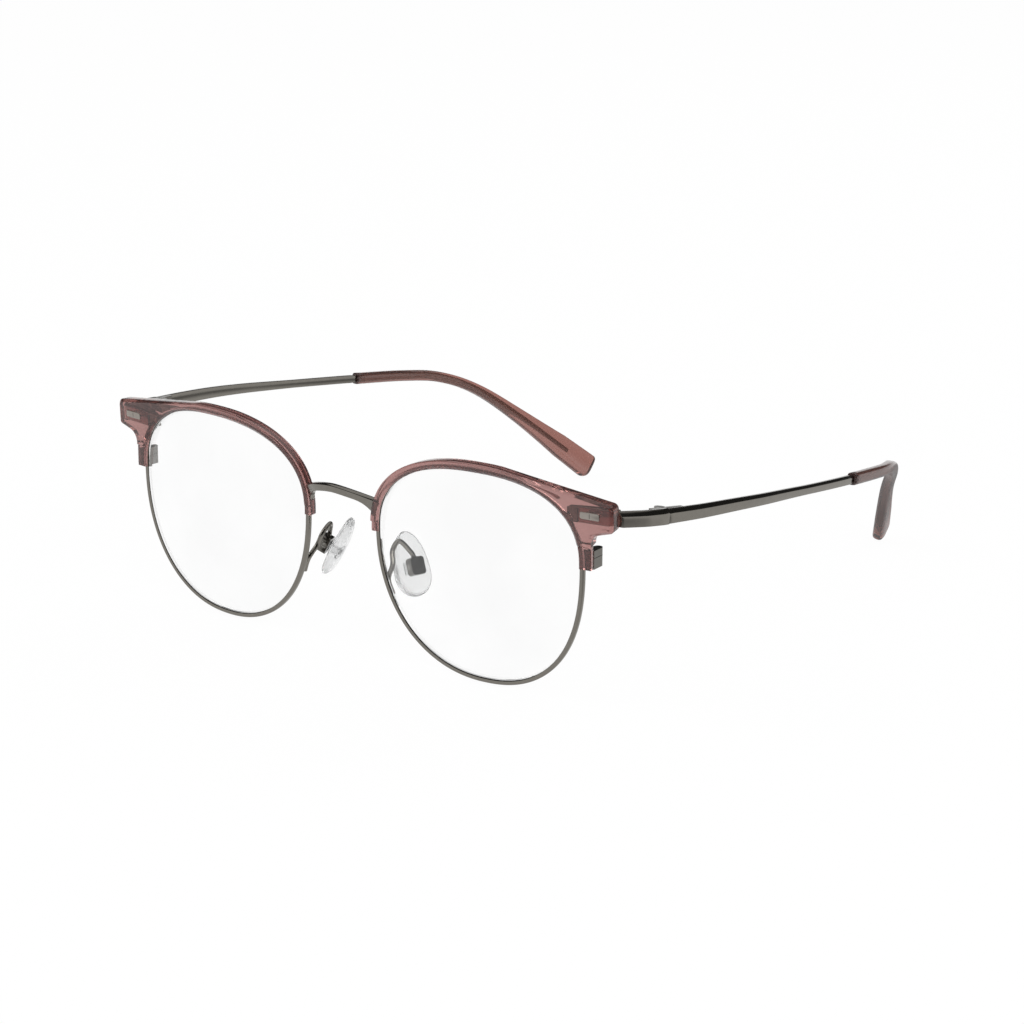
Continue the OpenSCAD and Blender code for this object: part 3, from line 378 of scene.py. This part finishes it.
# Rim wire with its lens groove, open at the closing block.
CUT_ANGLE = math.degrees(math.asin((CUT_UP - WIDEST_UP) / (LENS_W / 2 - CREST_OUT)))
HALF_CUT = math.degrees(RIM_CUT / 2 / (LENS_W / 2 - CREST_OUT))
APEX = BEVEL_SEAT - BEVEL_GAP * math.sqrt(2)
MOUTH = WIRE_W / 2 - APEX
WIRE_STEPS = 300


def wire_rings():
    w, d, e = WIRE_W / 2, WIRE_D / 2, WIRE_EASE
    section = rounded([Vector(q) for q in (
        (-w, -MOUTH), (-w + e, -d), (0, -d), (w - e, -d), (w, -d + e), (w + WIRE_CROWN, 0),
        (w, d - e), (w - e, d), (-w + e, d), (-w, MOUTH), (-APEX, 0))], WIRE_ROUND)
    out = []
    for i in range(WIRE_STEPS + 1):
        a = CUT_ANGLE + 360 * i / WIRE_STEPS
        a += HALF_CUT if i == 0 else -HALF_CUT if i == WIRE_STEPS else 0
        p, n = wire_at(a), edge_out(a)
        out.append([place(p + q.x * n, sag(p) + q.y) for q in section])
    return out


def lens_points():
    """Both faces of the lens with its bevelled edge, closed at their middles."""
    t, m = LENS_T / 2, WIRE_STEPS
    face = t + LENS_EASE_W
    angles = [CUT_ANGLE + 360 * i / m for i in range(m)]

    def inner(share, back):
        return [place(q, sag(q) + back) for q in (share * lens_edge(a) for a in angles)]

    def edge(inward, back):
        return [place(wire_at(a, -BEVEL_SEAT - inward), sag(wire_at(a)) + back) for a in angles]

    shares = (0.15, 0.35, 0.55, 0.75, 0.9)
    rings = [inner(s, t) for s in shares] + [edge(face, t), edge(t, t - LENS_EASE_T)]
    rings += [edge(0, 0), edge(t, LENS_EASE_T - t), edge(face, -t)]
    rings += [inner(s, -t) for s in reversed(shares)]
    points, faces = skin(rings, caps=False)
    n = len(points)
    points += [Vector((0, t, 0)), Vector((0, -t, 0))]
    last = n - m
    for j in range(m):
        faces.append((n, j, (j + 1) % m))
        faces.append((n + 1, last + (j + 1) % m, last + j))
    return points, faces


# Brow of clear rose acetate, from the leg's foot round the end block to the nose.
def corner(a, p, b, r, steps):
    """Arc of radius r that rounds the corner p between a and b."""
    u, v = (a - p).normalized(), (b - p).normalized()
    half = math.acos(u.dot(v)) / 2
    c = p + (u + v).normalized() * r / math.sin(half)
    s, e = p + u * r / math.tan(half) - c, p + v * r / math.tan(half) - c
    way = 1 if s.x * e.y - s.y * e.x > 0 else -1
    sweep = way * (math.pi - 2 * half)
    return [c + Matrix.Rotation(sweep * i / steps, 2) @ s for i in range(steps + 1)]


def brow_outline():
    """(outer point, angle of the rim point it faces) from foot to nose."""
    knee = Vector((LEG_X, LEG_TOP))
    low, top = Vector((BLOCK_X, BLOCK_LOW)), Vector((BLOCK_X, BLOCK_TOP))
    join = wire_at(TOP_JOIN, BROW_REACH)

    def angle(up):
        return math.degrees(math.asin((up - WIDEST_UP) / (LENS_W / 2 - CREST_OUT)))

    foot_angle = angle(LEG_FOOT)
    foot_wire, foot_out = wire_at(foot_angle), edge_out(foot_angle)
    foot = foot_wire + (LEG_X - foot_wire.x) / foot_out.x * foot_out

    def spread(points, start, end):
        return [(p, mix(start, end, i / (len(points) - 1))) for i, p in enumerate(points)]

    out = [(foot, foot_angle)]
    out += [(Vector((LEG_X, v)), angle(v)) for v in (7.0, 8.0, 9.2, RAISED_FOOT - 0.45)]
    out += [(Vector((LEG_X, v)), angle(v)) for v in (RAISED_FOOT, 11.1)]
    out += spread(corner(foot, knee, low, LEG_FILLET, 10), *KNEE_ANGLES)
    out += spread(corner(knee, low, top, LOW_ROUND, 6), *LOW_ANGLES)
    out += [(mix(low, top, t), mix(LOW_ANGLES[1], TOP_ANGLES[0], t)) for t in (0.3, 0.5, 0.7)]
    out += spread(corner(low, top, join, TOP_ROUND, 8), *TOP_ANGLES)
    edge = 24
    for i in range(1, edge):
        t = 0.06 + 0.94 * i / edge
        out.append((mix(top, join, t), mix(TOP_ANGLES[1], TOP_JOIN, t)))
    arc = 90
    for i in range(arc + 1):
        a = mix(TOP_JOIN, NOSE_STEP, i / arc)
        reach = mix(BROW_REACH, NOSE_REACH, ramp((a - NARROW_FROM) / NARROW_OVER))
        out.append((wire_at(a, reach), a))
    out += [(wire_at(a, NOSE_REACH), a) for a in (NOSE_STEP + 0.9, 179, 180.5, NOSE_END)]
    return out


def brow_rings():
    marks = brow_outline()
    low_count, raised_end = 5, len(marks) - 4
    groove_out, groove_half = WIRE_W / 2 + GROOVE_GAP, WIRE_D / 2 + GROOVE_GAP
    soft = BROW_SOFT
    out = []
    for j, (o, a) in enumerate(marks):
        p, n = wire_at(a), edge_out(a)
        base = sag(p)
        raised = low_count <= j < raised_end
        lip = j > low_count
        block = ramp((TOP_JOIN - a) / (TOP_JOIN - TOP_ANGLES[1]))
        m = n
        if 0 < j < len(marks) - 1:
            along = marks[j + 1][0] - marks[j - 1][0]
            m = Vector((along.y, -along.x)).normalized()
        tilt = math.tan(math.radians(BLOCK_SLOPE)) * (o - p).length
        front = BROW_FRONT if raised else TAB_FRONT
        bevel = mix(EDGE_BEVEL, BLOCK_BEVEL, block) if raised else TAB_BEVEL
        slope = SLOPE_W if raised else TAB_BEVEL
        fall = SLOPE_FALL if raised else TAB_BEVEL
        back = BROW_BACK + BLOCK_BACK * block if lip else LEG_BACK
        full_lip = j > low_count + 1
        lip_front = groove_half if lip else LEG_BACK - soft
        lip_in = -LIP_IN if full_lip else groove_out + soft
        lip_step = 0 if full_lip else soft / 2
        out.append(rounded([
            place(p - LIP_IN * n, base - front + fall),
            place(p + (slope - LIP_IN) * n, base - front),
            place(o - bevel * m, base - front + tilt),
            place(o, base - front + bevel + tilt),
            place(o - soft * m, base + back + tilt - soft),
            place(o - 2 * soft * m, base + back + tilt),
            place(p + lip_in * n, base + min(back, BROW_BACK)),
            place(p + (lip_in - lip_step) * n, base + lip_front + lip_step),
            place(p + groove_out * n, base + lip_front),
            place(p + groove_out * n, base - groove_half),
            place(p - LIP_IN * n, base - groove_half),
        ], BROW_ROUND))
    return out


# Temple route in the hinge frame, from the joint to the end of the tip.
def ear(length, drop):
    """A stretch of the tip behind the bend, tucked in and falling."""
    return length * Vector(
        (-cosd(drop) * sind(EAR_TUCK), cosd(drop) * cosd(EAR_TUCK), -sind(drop)))


BEND = Vector((-2.8, BEND_Y, -1.0))
DROP_CHANGE = 4.5
HALF_EAR = BEND + ear(EAR_L / 2, EAR_DROP - DROP_CHANGE)
TEMPLE_MARKS = [Vector(p) for p in (
    (FACE_OUT - BAR_T / 2, 0.04, 0), (3.5, 10, 0.2), (4.4, 21, 0.4), (4.7, 32, 0.4),
    (4.3, 43, 0.3), (3.7, 57, 0.1), (2.6, 72, -0.1), (0.5, BEND_Y - 10, -0.35))]
TEMPLE_MARKS += [BEND, mix(BEND, HALF_EAR, 0.48) + Vector((0.7, 0, 1.6)), HALF_EAR]
TEMPLE_MARKS.append(HALF_EAR + ear(EAR_L / 2, EAR_DROP + DROP_CHANGE))
ROUTE = smooth_route(TEMPLE_MARKS, 10)
RUN = [0.0]
for p, q in zip(ROUTE, ROUTE[1:]):
    RUN.append(RUN[-1] + (q - p).length)
FIRST_TIP = next(i for i, p in enumerate(ROUTE) if p.y >= TIP_START)


def flat_section(w, h):
    """Section of the arm, with a wide bevel along one edge of its outer side."""
    up, soft = BEVEL_UP * h, BEVEL_IN * w
    return rounded([Vector(q) for q in (
        (-w / 2, h / 2), (-w / 2, -h / 2), (w / 2 - soft, -h / 2),
        (w / 2, -h / 2 + up), (w / 2, h / 2))], FLAT_ROUND)


def arm_rings():
    """The arm, which goes on as a thin core inside the tip."""
    core_end = next(i for i, r in enumerate(RUN) if r > RUN[-1] - CORE_SHORT)
    out = []
    for i in range(core_end + 1):
        t = ramp(RUN[i] / TAPER_L)
        if i < FIRST_TIP:
            w, h = mix(BAR_T, ARM_T, t), mix(ARM_H0, ARM_H1, t)
        else:
            u = ramp((RUN[i] - TIP_START) / (RUN[-1] - TIP_START))
            w, h = mix(ARM_T - CORE_LESS, CORE_T, u), mix(CORE_H, CORE_T, u)
        way = Vector((0, 1, 0)) if i == 0 else travel(ROUTE, i)
        section = flat_section(w, h)
        if i == 0:
            out.append(ring(ROUTE[0], way, ASIDE, [q * END_SCALE for q in section]))
            out.append(ring(ROUTE[0] + way * END_EASE, way, ASIDE, section))
        else:
            out.append(ring(ROUTE[i], way, ASIDE, section))
    return out


def end_cut(r, from_end):
    """Loss of a corner of radius r at a distance from the very end of the tip."""
    return r - math.sqrt(r * r - (r - from_end) ** 2) if from_end < r else 0.0


def tip_section(w, h):
    return oval(w, h, TIP_FULL, TIP_POINTS)


def tip_rings():
    """The tip: a narrow neck, then a paddle with two corner radii at its end."""
    out = []
    first_way = travel(ROUTE, FIRST_TIP)
    for back, less in TIP_FIRST:
        section = tip_section(TIP_T0 - less, TIP_H0 - less)
        out.append(ring(ROUTE[FIRST_TIP] + first_way * back, first_way, ASIDE, section))
    for i in range(FIRST_TIP + 1, len(ROUTE) - 4):
        t = (RUN[i] - TIP_START) / (RUN[-1] - TIP_START)
        h = mix(TIP_H0, TIP_WAIST, ramp(t / WAIST_AT))
        h += (TIP_H1 - TIP_WAIST) * ramp((t - WAIST_AT) / WAIST_AT) ** 2
        section = tip_section(mix(TIP_T0, TIP_T1, t), h)
        out.append(ring(ROUTE[i], travel(ROUTE, i), ASIDE, section))
    way = travel(ROUTE, len(ROUTE) - 1)
    for d in TIP_LAST:
        up_cut, low_cut = end_cut(TOP_TURN, d), end_cut(LOW_TURN, d)
        middle = (up_cut - low_cut) / 2
        section = tip_section(TIP_T1 - 2 * end_cut(TIP_ROUND, d), TIP_H1 - up_cut - low_cut)
        section = [(q[0], q[1] + middle) for q in section]
        out.append(ring(ROUTE[-1] + way * (TIP_ROUND - d), way, ASIDE, section))
    return out


# Bridge between the rims, in the front's frame, with a web below each end.
def bridge_rings():
    a = BRIDGE_ANGLE
    p = place(wire_at(a, WIRE_W / 2 + TOUCH), sag(wire_at(a)))
    end = Matrix.Translation((LENS_X, 0, 0)) @ rot("Z", WRAP) @ p
    steps = 96
    route, out = [], []
    for i in range(-steps // 2, steps // 2 + 1):
        t = 2 * i / steps
        route.append(Vector((t * end.x, end.y - BRIDGE_BOW * (1 - abs(t) ** BOW_CURVE),
                             end.z + BRIDGE_RISE * (1 - abs(t) ** RISE_CURVE))))
    n = edge_out(a)
    face = Vector((-n.x * cosd(WRAP), -n.x * sind(WRAP), -n.y))
    d, h, r, top = BRIDGE_D / 2, BRIDGE_H / 2, BRIDGE_EASE, BRIDGE_TOP_EASE
    for i in range(steps + 1):
        t = abs(2 * i / steps - 1)
        web = WEB_H * ramp((t - WEB_FROM) / (1 - WEB_FROM)) ** WEB_CURVE
        section = rounded([Vector(q) for q in (
            (-d, -h - web + r), (-d + r, -h - web), (d - r, -h - web), (d, -h - web + r),
            (d, h - r), (d - r, h), (top - d, h), (-d, h - top))], BRIDGE_ROUND)
        way = travel(route, i)
        if i == 0:
            way = Vector((face.x, -face.y, -face.z))
        elif i == steps:
            way = face
        out.append(ring(route[i], way, Vector((0, 1, 0)), section))
    return out


# End piece: bar to the hinge, plate behind the brow and foot on the rim. The bar's
# marks are (along, outer face, thickness) in the hinge frame.
BAR_MARKS = [(-12.6, -1.3, 1.6), (-11.4, -0.85, 1.55), (-8.6, 0.4, 1.5), (-5.8, 1.5, 1.45),
             (-3.4, 2.1, 1.4), (-1.4, 2.5, 1.36), (0, 2.6, 1.35)]
FOOT_AT = wire_at(FOOT_ANGLE)
FOOT_SAG = sag(FOOT_AT)
BLOCK_RISE = math.tan(math.radians(BLOCK_SLOPE))
PLATE_TURN = math.degrees(math.atan((BLOCK_BACK + BLOCK_RISE * (PLATE_OUT - FOOT_AT.x)) / 10))
PLATE = (
    LENS
    @ Matrix.Translation((PLATE_IN, FOOT_SAG + BROW_BACK + PLATE_GAP, PLATE_Z))
    @ rot("Z", PLATE_TURN)
)


def bar_rings():
    """The bar starts flat against the brow's back, inside the plate."""
    to_plate = PLATE.inverted() @ HINGE
    out = []
    for y, o, t in smooth_route([Vector(m) for m in BAR_MARKS], 8):
        n, h = o - t, BAR_H
        up, soft = BEVEL_UP * h, BEVEL_IN * t
        section = [to_plate @ p for p in rounded([
            Vector((n, y, -h / 2)), Vector((n, y, h / 2)), Vector((o - soft, y, h / 2)),
            Vector((o, y, h / 2 - up)), Vector((o, y, -h / 2))], FLAT_ROUND)]
        out.append([PLATE @ Vector((p.x, max(p.y, 0.02), p.z)) for p in section])
    middle = sum(out[-1], Vector()) / len(out[-1])
    face = [middle + (p - middle) * END_SCALE for p in out[-1]]
    back = (HINGE.to_3x3() @ Vector((0, 1, 0))) * END_EASE
    out[-1] = [p - back for p in out[-1]]
    return out + [face]


def end_piece():
    """Points and faces of the end piece, and the number of the plate's front face."""
    plate_l = PLATE_OUT - PLATE_IN
    plate = box_faces(PLATE, (0, 0, -BAR_H / 2), (plate_l, PLATE_T, BAR_H / 2), BOX_ROUND)
    foot_x, foot_y = PLATE_IN - FOOT_IN, FOOT_SAG + WIRE_D / 2 + 4 * TOUCH
    foot = box_faces(LENS, (foot_x, foot_y, PLATE_Z - FOOT_H / 2),
                     (foot_x + FOOT_W, foot_y + BROW_BACK, PLATE_Z + FOOT_H / 2), BOX_ROUND)
    bar = skin(bar_rings())
    return *joined(bar, plate, foot), len(bar[1]) + len(plate[1]) - 2


def slab(matrix, l, h, t, proud, r, ease):
    """A flat plate with rounded corners, standing proud of the matrix's XZ plane."""
    rings = []
    depths = ((0, ease), (ease * EASE_MID_DEPTH, ease * EASE_MID_LESS), (ease, 0), (t, 0))
    for y, less in depths:
        x, z = l / 2 - less - r, h / 2 - less - r
        ring_points = []
        for cx, cz, start in ((x, z, 0), (-x, z, 90), (-x, -z, 180), (x, -z, 270)):
            for k in range(7):
                a = start + 15 * k
                ring_points.append(Vector((cx + r * cosd(a), y - proud, cz + r * sind(a))))
        rings.append(ring_points)
    return skin(moved(matrix, rings))


def pin(matrix, x, start, end):
    """A rivet pin, square to the matrix's XZ plane."""
    circle = [(PIN_R * cosd(15 * k), PIN_R * sind(15 * k)) for k in range(24)]
    return skin(moved(matrix, [[Vector((x + c, y, w)) for c, w in circle] for y in (start, end)]))


def plaque_parts():
    """The plaque with its two pins, and the line across its middle."""
    y = FOOT_SAG - BROW_FRONT
    y += BLOCK_RISE * (Vector((PLAQUE_X, PLAQUE_Z)) - FOOT_AT).length
    at = LENS @ Matrix.Translation((PLAQUE_X, y, PLAQUE_Z)) @ rot("Z", BLOCK_SLOPE)
    start = PLAQUE_T - PLAQUE_PROUD - PIN_LAP
    deep = BROW_FRONT + BROW_BACK + BLOCK_BACK + PLATE_T + PIN_PAST
    pins = [pin(at, s * PIN_PITCH, start, deep) for s in (-0.5, 0.5)]
    line = box_faces(at, (-LINE_W / 2, -PLAQUE_PROUD - TOUCH, LINE_SHORT - PLAQUE_H / 2),
                     (LINE_W / 2, 0, PLAQUE_H / 2 - LINE_SHORT), LINE_ROUND)
    face = slab(at, PLAQUE_L, PLAQUE_H, PLAQUE_T, PLAQUE_PROUD, PLAQUE_ROUND, PLAQUE_EASE)
    return joined(face, *pins), line


def pad_rings():
    """The soft pad: an egg outline, fuller at its lower end, crowned on both sides."""
    out = []
    rings, around = 40, 48
    for i in range(rings):
        s = -math.cos(math.pi * (i + 0.5) / rings)
        full = (1 - abs(s) ** (PAD_LOW_FULL if s < 0 else PAD_TOP_FULL)) ** 0.5
        narrow = 1 - PAD_NARROW * s
        ring_points = []
        for k in range(around):
            a = 2 * math.pi * k / around
            c, w = math.cos(a), math.sin(a)
            depth = (PAD_T - PAD_FRONT if c > 0 else PAD_FRONT) * c * full ** PAD_CROWN
            ring_points.append(Vector((depth, PAD_W / 2 * w * full * narrow, s * PAD_L / 2)))
        out.append(ring_points)
    return out


def pad_arm_rings():
    """Bent wire from the rim's back up, over and down into the pad box."""
    top = PAD @ Vector((BOX_FROM + BOX_DEEP / 2, BOX_ASIDE, BOX_UP + BOX_H / 2 + TOUCH))
    up = (PAD.to_3x3() @ Vector((0, 0, 1))).normalized()

    def on_rim(a, gap):
        p = wire_at(a)
        return LENS @ place(p, sag(p) + WIRE_D / 2 + PAD_WIRE / 2 + gap)

    here = Vector((0, SHIFT, LIFT))
    marks = [on_rim(213, 0.03), on_rim(206, 0.2), here + Vector((10.5, 4.4, -2.7)),
             here + Vector((9.7, 5.3, 0)), here + Vector((9.6, 7.6, 1.5)),
             top + Vector((-0.55, -0.45, 1.15)), top]
    route = smooth_route(marks, 12)
    out = []
    circle = oval(PAD_WIRE, PAD_WIRE, 2, 20)
    for i, p in enumerate(route):
        way = -up if i == len(route) - 1 else travel(route, i)
        if i == 0:
            small = [(0.75 * q[0], 0.75 * q[1]) for q in circle]
            out.append(ring(p, way, ASIDE, small))
            out.append(ring(p + way * 0.12, way, ASIDE, circle))
        else:
            out.append(ring(p, way, ASIDE, circle))
    return out


def box_faces(matrix, low, high, r):
    """A box with rounded edges, as a row of rings along its depth."""
    (x0, y0, z0), (x1, y1, z1) = low, high
    rings = []
    deep, less_deep = r * EASE_MID_DEPTH, r * EASE_MID_LESS
    for y, less in ((y0, r), (y0 + deep, less_deep), (y0 + r, 0),
                    (y1 - r, 0), (y1 - deep, less_deep), (y1, r)):
        section = [Vector((x0 + less, y, z0 + less)), Vector((x1 - less, y, z0 + less)),
                   Vector((x1 - less, y, z1 - less)), Vector((x0 + less, y, z1 - less))]
        rings.append(rounded(section, max(r - less * 0.5, 0.02), 4))
    return skin(moved(matrix, rings))


# Pieces of both sides and the bridge.
for name, side in SIDES:
    front = "front"
    build(name + "_rim", *skin(moved(LENS, wire_rings())), GUNMETAL, side, front,
          [name + "_eyewire"], "frame_metal", 40)
    points, faces = lens_points()
    build(name + "_lens_glass", [LENS @ p for p in points], faces, GLASS, side, front,
          [name + "_lens"], "lens_clear", 25)
    build(name + "_brow_acetate", *skin(moved(LENS, brow_rings())), ROSE, side, front,
          [name + "_brow"], "rose_acetate", 28)
    plaque, line = plaque_parts()
    build(name + "_plaque", *plaque, BRUSHED, side, front, [name + "_brow_rivet"], "bright_metal")
    build(name + "_plaque_line", *line, LINE, side, front, [], "frame_metal")
    points, faces, plate_front = end_piece()
    bar = build(name + "_end_bar", points, faces, GUNMETAL, side, front, [name + "_end_piece"],
                "frame_metal", 35)
    bar.data.materials.append(PLATE_FACE)
    bar.data.polygons[plate_front].material_index = 1
    build(name + "_pad_wire", *skin(pad_arm_rings()), GUNMETAL, side, front,
          [name + "_pad_arm"], "frame_metal", 40)
    build(name + "_pad_soft", *skin(moved(PAD, pad_rings())), SILICONE, side, name + "_pad",
          [name + "_nose_pad"], "clear_silicone", 60)
    rings = moved(HINGE, arm_rings())
    arm = build(name + "_arm_bar", *skin(rings), GUNMETAL, side, name + "_temple",
                [name + "_temple_arm"], "frame_metal", 35)
    arm.data.materials.append(TIP_CORE)
    for face in arm.data.polygons:
        face.material_index = int(face.index > (FIRST_TIP + 2) * len(rings[0]))
    build(name + "_tip_acetate", *skin(moved(HINGE, tip_rings())), MAUVE, side, name + "_temple",
          [name + "_temple_tip"], "mauve_acetate", 60)
build("bridge_bar", *skin(moved(FRONT, bridge_rings())), GUNMETAL, 1, "front", ["bridge"],
      "frame_metal", 35)

# Small fittings keep their solids, with their edges eased.
FITTINGS = {
    "front_hinge": GUNMETAL, "temple_hinge": GUNMETAL,
    "hinge_screw": SCREW, "clamp_upper": DARK, "clamp_lower": DARK, "clamp_screw": SCREW,
    "pad_box": DARK, "pad_screw": SCREW, "pad_insert": SILICONE,
}
for name, side in SIDES:
    for fitting, mat in FITTINGS.items():
        obj = NODES[f"{name}_{fitting}"]
        obj.data.materials.clear()
        obj.data.materials.append(mat)
        ease = obj.modifiers.new("eased", "BEVEL")
        ease.width = (BLOCK_EASE if fitting.startswith("clamp") else FITTING_EASE) * MM
        ease.segments = 2
        ease.limit_method = "ANGLE"
        ease.angle_limit = math.radians(40)


# Floor and world. Both are white to the camera and nearly so through clear pieces.
# Metal and gloss mirror painted reflections that light nothing: a dark band of the ceiling round
# a bright middle, a dark patch of the world to the front right and two dark patches painted on
# the floor.
def feed(owner, socket, source):
    """Link an input, or set it."""
    if isinstance(source, bpy.types.NodeSocket):
        owner.node_tree.links.new(source, socket)
    else:
        socket.default_value = source


def node(owner, kind, *inputs, **settings):
    """A node with its settings, and its first inputs linked or set."""
    n = owner.node_tree.nodes.new(kind)
    for key, value in settings.items():
        setattr(n, key, value)
    for socket, source in zip(n.inputs, inputs):
        feed(owner, socket, source)
    return n


def figure(owner, a, b, operation, clamp=False):
    return node(owner, "ShaderNodeMath", a, b, operation=operation, use_clamp=clamp).outputs[0]


def mixed(owner, share, a, b, blend="MIX"):
    """Two colours, mixed or multiplied."""
    n = node(owner, "ShaderNodeMix", share, data_type="RGBA", blend_type=blend)
    feed(owner, n.inputs[6], a)
    feed(owner, n.inputs[7], b)
    return n.outputs[2]


def greys(owner, source, stops):
    return ramped(owner, source, [(at, (tone, tone, tone)) for at, tone in stops])


def rays(owner):
    """Light Path's camera, glossy and transmission outputs."""
    path = node(owner, "ShaderNodeLightPath").outputs
    return path["Is Camera Ray"], path["Is Glossy Ray"], path["Is Transmission Ray"]


FLOOR_HALF, FLOOR_DROP, PAPER_GLOW = 6.0, 0.0002, 0.96
floor_mesh = bpy.data.meshes.new("floor")
floor_mesh.from_pydata(
    [(x * FLOOR_HALF, y * FLOOR_HALF, 0) for x, y in ((-1, -1), (1, -1), (1, 1), (-1, 1))],
    [], [(0, 1, 2, 3)])
floor = bpy.data.objects.new("floor", floor_mesh)
floor.location.z = -FLOOR_DROP
bpy.context.scene.collection.objects.link(floor)
paper, paper_bsdf = material(
    "floor_paper", (0.86, 0.86, 0.86), Roughness=0.9, Specular_IOR_Level=0.1)
camera_ray, glossy_ray, through_ray = rays(paper)
spot = add(paper, "ShaderNodeTexCoord").outputs["Object"]


def patch(center, stops):
    """Tone of a round dark patch painted on the floor for glossy rays, a painted reflection;
    stops are (distance in metres, tone).
    """
    away = node(paper, "ShaderNodeVectorMath", spot, center, operation="DISTANCE")
    return greys(paper, away.outputs["Value"], stops)


# Painted dark reflections: glossy rays see the floor's glow darkened in two round patches, while
# the camera and clear pieces see it white.
patches = mixed(paper, 1.0, patch((0.24, -0.2, 0), [(0.1, 0.04), (0.22, 1.0)]),
                patch((0.015, 0.125, 0), [(0.035, 0.3), (0.085, 1.0)]), "MULTIPLY")
mirrored = figure(paper, glossy_ray, through_ray, "SUBTRACT", True)
glow = node(paper, "ShaderNodeEmission", mixed(paper, mirrored, WHITE, patches), 1.0)
seen = figure(paper, figure(paper, camera_ray, glossy_ray, "MAXIMUM"), through_ray, "MAXIMUM")
share = figure(paper, seen, PAPER_GLOW, "MULTIPLY")
blend = node(paper, "ShaderNodeMixShader", share, paper_bsdf.outputs[0], glow.outputs[0])
out = paper.node_tree.nodes["Material Output"]
feed(paper, out.inputs["Surface"], blend.outputs[0])
floor_mesh.materials.append(paper)

AMBIENT, VEIL, DARK_PATCH_WAY = 0.75, 0.6, (0.73, -0.67, 0.13)
world = bpy.data.worlds.new("studio")
bpy.context.scene.world = world
world.use_nodes = True
world.node_tree.nodes.clear()
camera_ray, glossy_ray, through_ray = rays(world)
direction = node(world, "ShaderNodeTexCoord").outputs["Generated"]
height = node(world, "ShaderNodeSeparateXYZ", direction).outputs["Z"]
# Painted reflections: glossy rays see the world dark in a band of heights round a bright middle
# and in a patch to the front right, and transmission rays see that band faintly; other rays get
# an even white ambient light.
ceiling = greys(world, height, [(0.08, 1.0), (0.2, 0.04), (0.6, 0.04), (0.72, 0.9), (1.0, 0.9)])
toward = node(world, "ShaderNodeVectorMath", direction, DARK_PATCH_WAY,
              operation="DOT_PRODUCT").outputs["Value"]
painted_dark_patch = mixed(world, through_ray, greys(world, toward, [(0.8, 1.0), (0.92, 0.08)]), WHITE)
room = mixed(world, 1.0, ceiling, painted_dark_patch, "MULTIPLY")
room = mixed(world, figure(world, through_ray, VEIL, "MULTIPLY"), room, WHITE)
ambient = node(world, "ShaderNodeBackground", WHITE, AMBIENT).outputs[0]
studio = node(world, "ShaderNodeBackground", room).outputs[0]
white = node(world, "ShaderNodeBackground", WHITE).outputs[0]
mirror = figure(world, glossy_ray, through_ray, "MAXIMUM")
lit = node(world, "ShaderNodeMixShader", mirror, ambient, studio).outputs[0]
shown = node(world, "ShaderNodeMixShader", camera_ray, lit, white).outputs[0]
node(world, "ShaderNodeOutputWorld", shown)


# Soft lamps, which gloss does not mirror, and the camera at the photo's angle.
AIM = Vector((0, -0.02, 0.02))


def lamp(name, at, size, power):
    data = bpy.data.lights.new(name, "AREA")
    data.shape = "RECTANGLE"
    data.size, data.size_y = size
    data.energy = power
    obj = bpy.data.objects.new(name, data)
    obj.location = at
    obj.visible_glossy = False
    obj.rotation_euler = (AIM - Vector(at)).to_track_quat("-Z", "Y").to_euler()
    bpy.context.scene.collection.objects.link(obj)


lamp("key", (0.75, -0.55, 0.55), (0.6, 0.4), 4.0)
lamp("fill", (-0.7, -0.5, 0.6), (0.6, 0.5), 2.5)
lamp("back", (0.1, 0.9, 0.7), (0.8, 0.4), 2.5)

camera_data = bpy.data.cameras.new("camera")
camera_data.sensor_width = 36.0
camera_data.lens = 105.5
camera_data.clip_start = 0.05
camera = bpy.data.objects.new("camera", camera_data)
camera.location = (0.38306, -0.53894, 0.20166)
camera.rotation_euler = tuple(math.radians(a) for a in (74.173, -1.424, 36.588))
bpy.context.scene.collection.objects.link(camera)
bpy.context.scene.camera = camera
bpy.context.scene.view_settings.view_transform = "Standard"
